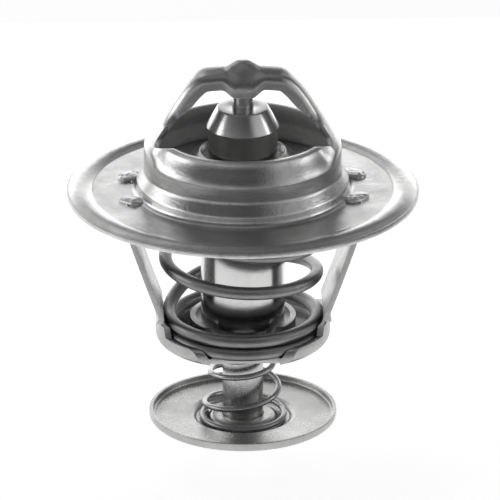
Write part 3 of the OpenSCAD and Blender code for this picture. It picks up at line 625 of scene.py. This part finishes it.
def around(az, r, z):
    """The point (r, z) turned to the angle az round the axis."""
    return r * math.cos(math.radians(az)), r * math.sin(math.radians(az)), z


def leg_share(az):
    """1 over the bridge's legs, 0 over the windows."""
    off = abs((az + 90) % 180 - 90)
    return 1.0 - smooth((off - EDGE_AZ) / CORNER_ARC)


def ring_line(t, az):
    """Outer radius and height at a share t of the way from the neck to the ring's top."""
    leg = bridge_line(L_RING * t)
    lip = (mix(NECK_R, LIP_R, smooth(t)), JOINT_Z + LIP_H * t)
    w = leg_share(az)
    return np.array([mix(lip[0], leg[0], w), mix(lip[1], leg[1], w)])


def ring_point(k, az, depth):
    """A point of the ring's row k; the last row's legs have the bridge's own normal."""
    t = k / RING_ROWS
    if k == RING_ROWS and leg_share(az) == 1:
        b = bridge_line(L_RING)[2]
        out = np.array([math.cos(b), math.sin(b)])
    else:
        step = ring_line(min(1, t + NEAR), az) - ring_line(max(0, t - NEAR), az)
        n = step / np.linalg.norm(step)
        out = np.array([n[1], -n[0]])
    return around(az, *(ring_line(t, az) - depth * out))


# ---------------------------------------------------------------- housing
neck_shift = shift(NECK_STEPS)
FOOT_X = NECK_R - neck_shift[0]  # where the flat ends and the foot's fillet begins


def flange_path():
    """The sheet's outer line from the rim over the bead and the flat and up the neck."""
    bead_a = math.degrees(2 * math.atan(2 * BEAD_H / BEAD_W))
    bead_r = BEAD_W / 2 / math.sin(math.radians(bead_a))
    bead = [
        (BEAD_EDGE, -bead_a, BEAD_FILLET), (0, 2 * bead_a, bead_r), (0, -bead_a, BEAD_FILLET)]
    start = (FLANGE_R, SHEET)
    flat = track(bead, start, INWARDS)[-1][0][0] - FOOT_X
    foot = (flat, *NECK_STEPS[0][1:])
    neck = (NECK_H - neck_shift[1] - NECK_GAP, 0, 0)
    return track([*bead, foot, *NECK_STEPS[1:], neck], start, INWARDS)


def filled(line):
    """A line whose long runs have more points."""
    out = [line[0]]
    for a, b in zip(line, line[1:]):
        n = max(1, int(math.dist(a, b) / ROW_GAP))
        out += [tuple(mix(np.array(a), np.array(b), k / n)) for k in range(1, n + 1)]
    return out


def housing_mesh():
    """Flange, neck, lips and bridge as one sheet with an outer and an inner skin.

    All rows round the axis have the same angles. The bridge is a band of rows of its own
    between the two places of the ring's last row that are its legs.
    """
    path = flange_path()
    lines = {
        0: [tuple(e[0]) for e in path],
        SHEET: [tuple(e[0] + SHEET * left(e[1])) for e in path],
    }
    verts, faces = [], []

    def row(points):
        start = len(verts)
        verts.extend(points)
        return start

    def edge_faces(columns, a, b):
        for j in columns:
            k = (j + 1) % RING_N
            faces.append((a + j, a + k, b + k, b + j))

    rings = {
        depth: [row([around(az, r, z) for az in ring_az]) for r, z in filled(line)]
        for depth, line in lines.items()
    }
    for k in range(1, RING_ROWS + 1):
        for depth, rows in rings.items():
            rows.append(row([ring_point(k, az, depth) for az in ring_az]))
    for rows in rings.values():
        for a, b in zip(rows, rows[1:]):
            for j in range(RING_N):
                k = (j + 1) % RING_N
                faces.append((a + j, b + j, b + k, a + k))
    edge_faces(range(RING_N), rings[0][0], rings[SHEET][0])

    bridge_n = 2 * len(ROWS)
    band = {}
    for depth in rings:
        for i in range(1, bridge_n):
            side = 1 if i <= len(ROWS) else -1
            d = ROWS[min(i, bridge_n - i) - 1]
            points = [bridge_point(d, place, depth) for place in section(d)]
            band[depth, i] = row([(side * x, y, z) for x, y, z in points])
    top = {depth: rows[-1] for depth, rows in rings.items()}
    far_leg = COLS + WINDOW_N - 1

    def at(depth, i, c):
        if i == 0:
            return top[depth] + c
        if i == bridge_n:
            return top[depth] + far_leg + COLS - 1 - c
        return band[depth, i] + c

    for depth in rings:
        for i in range(bridge_n):
            for c in range(COLS - 1):
                faces.append((
                    at(depth, i, c), at(depth, i + 1, c),
                    at(depth, i + 1, c + 1), at(depth, i, c + 1)))
    for i in range(bridge_n):
        for c in (0, COLS - 1):
            faces.append((at(0, i, c), at(0, i + 1, c), at(SHEET, i + 1, c), at(SHEET, i, c)))
    windows = [*range(COLS - 1, far_leg), *range(far_leg + COLS - 1, RING_N)]
    edge_faces(windows, top[0], top[SHEET])
    return [(x * MM, y * MM, z * MM) for x, y, z in verts], faces


housing = make("housing_pressing", *housing_mesh(), M_HOUSING, None, angle=40, bevel=0.09)

# slots for the stirrup's prongs, cut through the flange
FRAME_W, LEG_SHEET = 35.7, 0.85
LEG_MID_X = FRAME_W / 2 - LEG_SHEET / 2
PRONG_Y = 5.0
SLOT_W, SLOT_L, SLOT_ARC = 1.1, 4.4, 12
SLOT_Z = (-1.0, 2.0)
CORNERS = [(sx, sy) for sx in (-1, 1) for sy in (-1, 1)]


def slot_cutter(cx, cy):
    """A block with round ends that reaches through the flange."""
    r, reach = SLOT_W / 2, (SLOT_L - SLOT_W) / 2
    plan = []
    for start, mid in ((0, reach), (math.pi, -reach)):
        for k in range(SLOT_ARC + 1):
            a = start + math.pi * k / SLOT_ARC
            plan.append((cx + r * math.cos(a), cy + (mid + r * math.sin(a))))
    bm = bmesh.new()
    low, high = ([bm.verts.new((x * MM, y * MM, z * MM)) for x, y in plan] for z in SLOT_Z)
    bm.faces.new(low[::-1])
    bm.faces.new(high)
    for k in range(len(plan)):
        j = (k + 1) % len(plan)
        bm.faces.new((low[k], low[j], high[j], high[k]))
    return add_bmesh("slot_cut", "slot_cut", bm)


cutters = [slot_cutter(sx * LEG_MID_X, sy * PRONG_Y) for sx, sy in CORNERS]
for cutter in cutters:
    mod = housing.modifiers.new("slot", "BOOLEAN")
    mod.operation = "DIFFERENCE"
    mod.solver = "EXACT"
    mod.object = cutter
bpy.context.view_layer.update()
cut = housing.evaluated_get(bpy.context.evaluated_depsgraph_get())
cut_mesh = bpy.data.meshes.new_from_object(cut)
housing.modifiers.clear()
housing.data = cut_mesh
for cutter in cutters:
    bpy.data.objects.remove(cutter)
dress(housing, M_HOUSING, "housing", ("flange_housing",), angle=40)

# ---------------------------------------------------------------- lower frame
# the legs bow over LEG_SPAN from LEG_TOP below the flange down
LEG_TOP, LEG_SPAN, LEG_BOW = 1.0, 18.5, 0.12
LEG_CUTS = 9
TALL = 8
HEADS_FROM = SHEET + 0.01


def stirrup():
    """The CAD solid without its prong heads, its legs bowed out a little."""
    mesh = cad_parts["lower_frame"].data.copy()
    ob = add("stirrup", mesh)
    bm = bmesh.new()
    bm.from_mesh(mesh)
    bmesh.ops.remove_doubles(bm, verts=bm.verts, dist=WELD)
    heads = [f for f in bm.faces if f.calc_center_median().z > HEADS_FROM * MM]
    bmesh.ops.delete(bm, geom=heads, context="FACES")
    bmesh.ops.dissolve_limit(bm, angle_limit=math.radians(1.0), verts=bm.verts, edges=bm.edges)
    tall = [e for e in bm.edges if abs(e.verts[0].co.z - e.verts[1].co.z) > TALL * MM]
    bmesh.ops.subdivide_edges(bm, edges=tall, cuts=LEG_CUTS, use_grid_fill=True)
    for v in bm.verts:
        t = (-v.co.z / MM - LEG_TOP) / LEG_SPAN
        if 0 < t < 1:
            v.co.x += math.copysign(LEG_BOW * math.sin(math.pi * t) * MM, v.co.x)
    bm.to_mesh(mesh)
    bm.free()
    dress(ob, M_FRAME, "housing", ("lower_frame",), angle=30, bevel=0.07)


PEEN_TURN = math.radians(43)
PEEN_X, PEEN_Y, PEEN_Z = 1.40, 2.1, 0.60
PEEN_SQUARE, PEEN_FLAT = 0.8, 0.55
PEEN_IN, PEEN_GAP = 0.2, 0.02
# how far the coarse and the fine noise move the outline and the top
RAGGED, LUMPY = (0.10, 0.035), (0.14, 0.09)


def peened(cx, cy, seed):
    """A hammered prong head: a low lump with a squarish, ragged outline."""
    turn = PEEN_TURN * (1 if cx * cy > 0 else -1)
    ca, sa = math.cos(turn), math.sin(turn)
    bm = bmesh.new()
    bmesh.ops.create_icosphere(bm, subdivisions=5, radius=1)
    for v in bm.verts:
        p = v.co.copy()
        x = math.copysign(abs(p.x) ** PEEN_SQUARE, p.x) * PEEN_X
        y = math.copysign(abs(p.y) ** PEEN_SQUARE, p.y) * PEEN_Y
        n1 = noise.noise(Vector((p.x * 1.6, p.y * 1.6, p.z + seed * 7.1)))
        n2 = noise.noise(Vector((p.x * 4.5, p.y * 4.5, p.z * 2 + seed * 3.7)))
        k = 1 + RAGGED[0] * n1 + RAGGED[1] * n2
        top = PEEN_Z + LUMPY[0] * n1 + LUMPY[1] * n2
        v.co = Vector((
            (cx + (x * ca - y * sa) * k) * MM,
            (cy + (x * sa + y * ca) * k) * MM,
            (SHEET + PEEN_GAP + max(0.0, p.z) ** PEEN_FLAT * top) * MM,
        ))
    ob = add_bmesh("prong_head_%d" % seed, "peen", bm)
    dress(ob, M_HEAD, "housing", (), angle=60)


stirrup()
for seed, (sx, sy) in enumerate(CORNERS, 1):
    peened(sx * (LEG_MID_X - PEEN_IN), sy * PRONG_Y, seed)

# ---------------------------------------------------------------- valve and element
G = 0.03  # gap between pieces that touch
# the inner edge of the seat's cone, and how far below it the plate's underside lies
SEAT = (
    track([*NECK_STEPS[:2], (NECK_STEPS[2][0], 0, 0)], (FOOT_X, SHEET), INWARDS)[-1][0]
    + SHEET * left(SEAT_HEADING))
SEAT_DROP, SEAT_GAP = 0.45, 0.05
CONE = math.tan(math.radians(SEAT_HEADING - 90))
PLATE_Z = SEAT[1] - SEAT_DROP
PLATE_R = SEAT[0] + CONE * SEAT_DROP - SEAT_GAP
PLATE_T, PLATE_RISE, PLATE_TURN, PLATE_BEND, PLATE_STEP_R = 0.8, 1.5, -40, 0.6, 8.2
MID_Z = PLATE_Z + PLATE_RISE
MID_TOP = MID_Z + PLATE_T
CUP_R, CUP_IN, CUP_DEPTH = 6.45, 5.65, 24.7
CRIMP_R, CRIMP_Z = 5.45, MID_TOP + 0.6
COLLAR_R, COLLAR_H = 7.85, 1.95
PISTON_R, PISTON_L = 1.6, 26
PISTON_TOP = BRIDGE_H - SHEET + 0.7
GUIDE_R, GUIDE_BORE = 5.35, PISTON_R + 0.04
GUIDE_TOP = PLATE_Z + 11.4

plate_step = joggle(0, PLATE_RISE, PLATE_TURN, PLATE_BEND + PLATE_T, PLATE_BEND)
plate_run = PLATE_R - PLATE_STEP_R + shift(plate_step)[0]
plate_path = track(
    [(plate_run, *plate_step[0][1:]), plate_step[1], (PLATE_STEP_R - CUP_R - G, 0, 0)],
    (PLATE_R, PLATE_Z), INWARDS)
plate = outline(plate_path, -PLATE_T)
# the rim's edge follows the seat's cone
plate[-1] = (PLATE_R - CONE * PLATE_T, PLATE_Z + PLATE_T)
lathe("valve_disc", plate, M_PLATE, "element", ("valve_plate",), "plate_sheet")

lathe("plate_ring", [
    (CUP_R + G, MID_TOP + G), (COLLAR_R + 0.15, MID_TOP + G), (COLLAR_R, MID_TOP + 1.21),
    (CUP_R + 0.2, MID_TOP + COLLAR_H), (CUP_R + G, MID_TOP + COLLAR_H)],
    M_BRIGHT, "element", ("valve_collar",), "turned_bright")

lathe("guide_body", [
    (GUIDE_BORE, MID_Z), (CUP_IN + 0.25, MID_Z), (CUP_IN + 0.25, MID_TOP),
    (GUIDE_R, MID_TOP + 0.3), (GUIDE_R, GUIDE_TOP - 3.4), (GUIDE_R + 0.25, GUIDE_TOP - 3.1),
    (4.0, GUIDE_TOP - 0.15), (3.85, GUIDE_TOP), (GUIDE_BORE, GUIDE_TOP)],
    M_BRIGHT, "element", ("guide",), "turned_bright")

lathe("piston_rod", [
    (0, PISTON_TOP - PISTON_L), (PISTON_R - 0.4, PISTON_TOP - PISTON_L),
    (PISTON_R, PISTON_TOP - PISTON_L + 1.2), (PISTON_R, PISTON_TOP - 0.5),
    (PISTON_R - 0.5, PISTON_TOP), (0, PISTON_TOP)],
    M_PISTON, "housing", ("piston",), "piston_steel", seg=96)

lathe("wax_can", [
    (0, -CUP_DEPTH), (CUP_R - 1.2, -CUP_DEPTH), (CUP_R - 0.35, -CUP_DEPTH + 0.35),
    (CUP_R, -CUP_DEPTH + 1.2), (CUP_R, MID_Z - 1.4), (CUP_R + 0.7, MID_Z - 0.9),
    (CUP_R + 0.7, MID_Z - G), (CUP_R, MID_Z - G), (CUP_R, CRIMP_Z), (CRIMP_R, CRIMP_Z),
    (CRIMP_R, MID_TOP + 0.32), (CUP_IN + 0.28, MID_TOP + G), (CUP_IN + 0.28, MID_Z - G),
    (CUP_IN, MID_Z - G), (CUP_IN, -CUP_DEPTH + 1.6), (CUP_IN - 0.8, -CUP_DEPTH + 0.8),
    (0, -CUP_DEPTH + 0.8)],
    M_CUP, "element", ("wax_cup",), "cup_metal")

for hidden, mat in (
    ("rubber_boot", M_RUBBER), ("wax_charge", M_WAX), ("backup_washer", M_WASHER),
):
    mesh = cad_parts[hidden].data
    mesh.materials.clear()
    mesh.materials.append(mat)

# ---------------------------------------------------------------- bypass disc and stem
DISC_R, DISC_T = 14.5, 0.6
RIM_Z, RIM_H, RIM_BEND = -35.7, 1.5, 0.9
RECESS_R, RECESS_DEPTH, RECESS_TURN = 7.8, 0.75, 75
RECESS_BEND, RECESS_FOOT = 0.5, 0.8
RECESS_UNDER = RIM_Z - RIM_H - RECESS_DEPTH
RECESS_Z = RECESS_UNDER + DISC_T
STEM_R, STEM_FOOT_R = 3.15, 2.65
HUB_R, HUB_RISE, HUB_TURN, HUB_BEND, HUB_W = STEM_R + 0.06, 0.8, -80, 0.45, 1.1
HUB_UNDER = RECESS_UNDER + HUB_RISE
WASHER_IN, WASHER_OUT, WASHER_T = STEM_FOOT_R + 0.02, HUB_R + 0.95, 0.5

disc_steps = [
    (RIM_H - RIM_BEND, -90, RIM_BEND),
    *joggle(DISC_R - RIM_BEND - RECESS_R - RECESS_BEND, RECESS_DEPTH, RECESS_TURN,
            RECESS_BEND, RECESS_FOOT),
]
recess_in = track(disc_steps, (DISC_R, RIM_Z), DOWN)[-1][0][0]
hub_steps = joggle(0, HUB_RISE, HUB_TURN, HUB_BEND + DISC_T, HUB_BEND)
hub_run = recess_in - (HUB_R + HUB_W - shift(hub_steps)[0])
disc_path = track(
    [*disc_steps, (hub_run, *hub_steps[0][1:]), hub_steps[1], (HUB_W, 0, 0)],
    (DISC_R, RIM_Z), DOWN, fine=8)
lathe("bypass_plate", outline(disc_path, -DISC_T), M_DISC, "bypass", ("bypass_disc",),
      "disc_sheet", round_by=0.09)

lathe("stem_rod", [
    (0, RECESS_UNDER + 0.1), (STEM_FOOT_R - 0.2, RECESS_UNDER + 0.1),
    (STEM_FOOT_R, RECESS_UNDER + 0.3), (STEM_FOOT_R, HUB_UNDER - G), (STEM_R, HUB_UNDER - G),
    (STEM_R, -CUP_DEPTH - G), (0, -CUP_DEPTH - G)],
    M_STEM, "element", ("bypass_stem",), "stem_metal", seg=128)

lathe("stem_washer", [
    (WASHER_IN, HUB_UNDER - G - WASHER_T), (WASHER_OUT, HUB_UNDER - G - WASHER_T),
    (WASHER_OUT, HUB_UNDER - 2 * G), (WASHER_IN, HUB_UNDER - 2 * G)],
    M_BRIGHT, "element", ("stem_ring",), "turned_bright", seg=128)


# ---------------------------------------------------------------- springs
END_CUT = 0.12


def coil(name, path, wire, mat, body, replaces, slot, sides=20):
    """Round wire along a path, with its two ends slightly chamfered."""
    pts = [np.array(p) for p in path]
    rings = []
    for i, p in enumerate(pts):
        t = pts[min(i + 1, len(pts) - 1)] - pts[max(i - 1, 0)]
        t = t / np.linalg.norm(t)
        out = np.array([p[0], p[1], 0])
        out = out / np.linalg.norm(out)
        rings.append((p, t, out, np.cross(t, out), wire / 2))
    cut = END_CUT * wire / 2
    for end, way, place in ((0, 1, 0), (-1, -1, len(rings) + 1)):
        p, t, out, up, r = rings[end]
        rings[end] = (p + way * cut * t, t, out, up, r)
        rings.insert(place, (p, t, out, up, r - cut))
    verts, faces = [], []
    for p, _, out, up, r in rings:
        for k in range(sides):
            a = 2 * math.pi * k / sides
            q = p + r * (math.cos(a) * out + math.sin(a) * up)
            verts.append((q[0] * MM, q[1] * MM, q[2] * MM))
    for i in range(len(rings) - 1):
        a, b = i * sides, (i + 1) * sides
        for k in range(sides):
            j = (k + 1) % sides
            faces.append((a + k, b + k, b + j, a + j))
    faces.append(tuple(range(sides)))
    faces.append(tuple(reversed(range(len(verts) - sides, len(verts)))))
    return make(name, verts, faces, mat, body, replaces, slot, angle=40)


def along(points, x):
    """A smooth line that never overshoots, through (x, y) points."""
    n = len(points) - 1
    i = min(n - 1, max(0, sum(p[0] <= x for p in points) - 1))
    step = [(b[1] - a[1]) / (b[0] - a[0]) for a, b in zip(points, points[1:])]

    def slope(k):
        if k in (0, n):
            return step[min(k, n - 1)]
        a, b = step[k - 1], step[k]
        return 0.0 if a * b <= 0 else 2 * a * b / (a + b)

    (x0, y0), (x1, y1) = points[i], points[i + 1]
    w = x1 - x0
    t = (x - x0) / w
    return (
        y0 * (1 + 2 * t) * (1 - t) ** 2 + y1 * t * t * (3 - 2 * t)
        + w * (slope(i) * t * (1 - t) ** 2 - slope(i + 1) * t * t * (1 - t)))


# height of each wire's middle against turns counted from its foot
DISH_Z = -23.2
MAIN_WIRE, MAIN_TURNS, MAIN_AZ, MAIN_N = 2.0, 4.82, -15, 380
MAIN_TOP = PLATE_Z - MAIN_WIRE / 2 - G
MAIN_FOOT = DISH_Z + MAIN_WIRE / 2 + G
MAIN_RISE = [
    (0.0, MAIN_FOOT), (0.22, MAIN_FOOT + 0.02), (0.96, MAIN_FOOT + 2.05), (1.2, MAIN_FOOT + 2.1),
    (1.44, MAIN_FOOT + 2.35), (1.61, -17.0), (1.82, -14.1), (1.96, -12.9), (2.21, -12.0),
    (2.46, -10.5), (3.2, -6.0), (3.9, MAIN_TOP - 0.25), (4.15, MAIN_TOP - 0.02),
    (MAIN_TURNS, MAIN_TOP)]
# the free turn stands out on the left
MAIN_R, MAIN_OUT, OUT_AT, OUT_WIDTH = 11.4, 0.55, 2.5, 0.22

BYPASS_WIRE, BYPASS_TURNS, BYPASS_AZ, BYPASS_N = 0.9, 4.15, 150, 320
BYPASS_TOP = -CUP_DEPTH - BYPASS_WIRE / 2 - G
BYPASS_FOOT = RECESS_Z + BYPASS_WIRE / 2 + G
BYPASS_RISE = [
    (0.0, BYPASS_FOOT), (0.35, BYPASS_FOOT + 0.02), (0.6, BYPASS_FOOT + 0.2), (0.83, -35.9),
    (1.08, -34.8), (1.33, -33.5), (1.58, -32.1), (1.83, -30.8), (2.08, -29.6), (2.33, -28.7),
    (3.0, -27.0), (3.85, BYPASS_TOP - 0.03), (BYPASS_TURNS, BYPASS_TOP)]
BYPASS_R = [
    (0, 6.3), (0.6, 6.35), (1.1, 5.9), (1.6, 5.5), (2.1, 5.0), (3.0, 4.6), (BYPASS_TURNS, 4.55)]


def main_point(u):
    """The middle of the wire u turns below its upper end; the coil is left-handed."""
    k = MAIN_TURNS - u
    r = MAIN_R + MAIN_OUT * math.exp(-((k - OUT_AT) / OUT_WIDTH) ** 2)
    return around(MAIN_AZ - 360 * k, r, along(MAIN_RISE, k))


def bypass_point(u):
    """The same for the bypass spring, which is right-handed and wider at its foot."""
    k = BYPASS_TURNS - u
    return around(BYPASS_AZ + 360 * k, along(BYPASS_R, k), along(BYPASS_RISE, k))


main = coil(
    "main_coil", [main_point(MAIN_TURNS * i / MAIN_N) for i in range(MAIN_N + 1)],
    MAIN_WIRE, M_SPRING, "housing", ("main_spring",), "spring_wire")
byp = coil(
    "bypass_coil", [bypass_point(BYPASS_TURNS * i / BYPASS_N) for i in range(BYPASS_N + 1)],
    BYPASS_WIRE, M_BYPASS, "element", ("bypass_spring",), "bypass_wire", sides=14)
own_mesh(main)
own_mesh(byp)

# ---------------------------------------------------------------- camera
# fitted to the photograph: distance, elevation, turn to the side, the point it looks at
CAM_DIST = 1200.0
CAM_EL, CAM_TURN = math.radians(22.05), math.radians(-2.0)
AIM_RIGHT, AIM_Z = 1.101, -10.285
FOCAL_PX, PICTURE_PX, SENSOR = 7812, 500, 36

right = Vector((math.cos(CAM_TURN), math.sin(CAM_TURN), 0))
front = Vector((math.sin(CAM_TURN), -math.cos(CAM_TURN), 0))
aim = right * AIM_RIGHT + Vector((0, 0, AIM_Z + SHEET))
pos = aim + (front * math.cos(CAM_EL) + Vector((0, 0, math.sin(CAM_EL)))) * CAM_DIST


def looking(way):
    """The rotation of a camera or lamp that looks along a direction."""
    return way.to_track_quat("-Z", "Y").to_euler()


cam = add("camera", bpy.data.cameras.new("camera"))
cam.data.sensor_width = SENSOR
cam.data.sensor_fit = "HORIZONTAL"
cam.data.lens = FOCAL_PX * SENSOR / PICTURE_PX
cam.data.clip_start = 0.01
cam.data.clip_end = 50
cam.location = pos * MM
cam.rotation_euler = looking((aim - pos) * MM)
bpy.context.scene.camera = cam

# ---------------------------------------------------------------- floor
# low enough for the disc to come down as the main valve opens
FLOOR_Z = (RECESS_UNDER - 8.3) * MM
FLOOR_TONE, FLOOR_GLOW, TABLE_TONE = 0.9, 0.52, 0.14

bpy.ops.mesh.primitive_plane_add(size=6, location=(0, 0, FLOOR_Z))
floor = bpy.context.object
floor.name = "floor"
white = bpy.data.materials.new("floor_white")
white.use_nodes = True
nt = white.node_tree
nt.nodes.clear()
ray = node(nt, "LightPath").outputs
mirrored = calc(nt, "MAXIMUM", ray["Is Glossy Ray"], ray["Is Transmission Ray"])
x, y, _ = parts_of(nt, node(nt, "TexCoord").outputs["Object"])
# metal sees a white sheet on a dark table: it ends 100 mm in front and fades at the sides
sheet = calc(nt, "MULTIPLY", fade(nt, y, -0.145, -0.102), fade(nt, x, 0.18, 0.07))
sheet = calc(nt, "MULTIPLY", sheet, fade(nt, x, -0.26, -0.12))
tone = mix_col(nt, mirrored, 1, ramp(nt, sheet, [(0.0, TABLE_TONE), (1.0, 1.0)]))
paper = mix_col(nt, 1.0, FLOOR_TONE, tone, "MULTIPLY")
strength = calc(
    nt, "MULTIPLY", calc(nt, "MAXIMUM", ray["Is Camera Ray"], mirrored), FLOOR_GLOW)
diffuse = node(nt, "BsdfDiffuse", [("Color", paper)]).outputs[0]
glow = node(nt, "Emission", [("Color", tone), ("Strength", strength)]).outputs[0]
both = node(nt, "AddShader", [(0, diffuse), (1, glow)]).outputs[0]
node(nt, "OutputMaterial", [("Surface", both)])
floor.data.materials.append(white)

# ---------------------------------------------------------------- world
SOFT = 0.45  # what dull surfaces get from all sides
PATCH_FULL = 0.99

world = bpy.data.worlds.new("studio")
bpy.context.scene.world = world
world.use_nodes = True
wt = world.node_tree
wt.nodes.clear()
way = node(wt, "TexCoord").outputs["Generated"]
x, y, z = parts_of(wt, way)


def share(sock):
    """A range of -1 to 1 brought to 0 to 1."""
    return calc(wt, "ADD", calc(wt, "MULTIPLY", sock, 0.5), 0.5)


# what metal sees round the table: a dim room, paler behind and near the floor
room = mix_col(
    wt, 1.0,
    ramp(wt, z, [(0.0, 0.85), (0.16, 0.7), (0.34, 0.32), (0.55, 0.13), (0.75, 0.13), (1.0, 0.3)]),
    ramp(wt, share(y), [(0.0, 0.55), (0.45, 0.75), (0.80, 0.65), (0.95, 1.0)]), "MULTIPLY")
room = mix_col(
    wt, 1.0, room, ramp(wt, share(x), [(0.0, 1.35), (0.35, 1.1), (0.65, 0.75), (1.0, 0.85)]),
    "MULTIPLY")
# three soft patches, as (direction, cosine at the edge, gain)
for to, edge, gain in (
    ((-0.38, 0.64, 0.67), 0.93, 0.6), ((0.48, 0.58, 0.66), 0.94, 0.25),
    ((0.78, -0.42, 0.46), 0.84, 0.35),
):
    patch = fade(wt, dot(wt, way, Vector(to).normalized()), edge, PATCH_FULL, gain)
    room = mix_col(wt, 1.0, room, patch, "ADD")

ray = node(wt, "LightPath").outputs
seen = calc(wt, "MAXIMUM", ray["Is Camera Ray"], ray["Is Transmission Ray"])
soft, studio, backdrop = (
    node(wt, "Background", [("Color", c)]).outputs[0] for c in (SOFT, room, 1))
lit = node(wt, "MixShader", [(0, ray["Is Glossy Ray"]), (1, soft), (2, studio)]).outputs[0]
surface = node(wt, "MixShader", [(0, seen), (1, lit), (2, backdrop)]).outputs[0]
node(wt, "OutputWorld", [("Surface", surface)])


# ---------------------------------------------------------------- lamps
def area(name, loc, size, power, look=(0, 0, 0)):
    """A soft rectangular lamp, in metres, that the camera doesn't see."""
    lamp = bpy.data.lights.new(name, "AREA")
    lamp.shape = "RECTANGLE"
    lamp.size, lamp.size_y = size
    lamp.energy = power
    ob = add(name, lamp)
    ob.location = loc
    ob.rotation_euler = looking(Vector(look) - Vector(loc))
    ob.visible_camera = False


area("key_left", (-0.575, 0.07, 0.163), (0.46, 0.20), 0.60)
area("fill_right", (0.57, -0.01, 0.165), (0.12, 0.22), 0.19)
area("back_card", (-0.03, 0.20, 0.021), (0.36, 0.134), 0.19, look=(-0.03, 0, 0.021))

bpy.context.scene.view_settings.view_transform = "Standard"
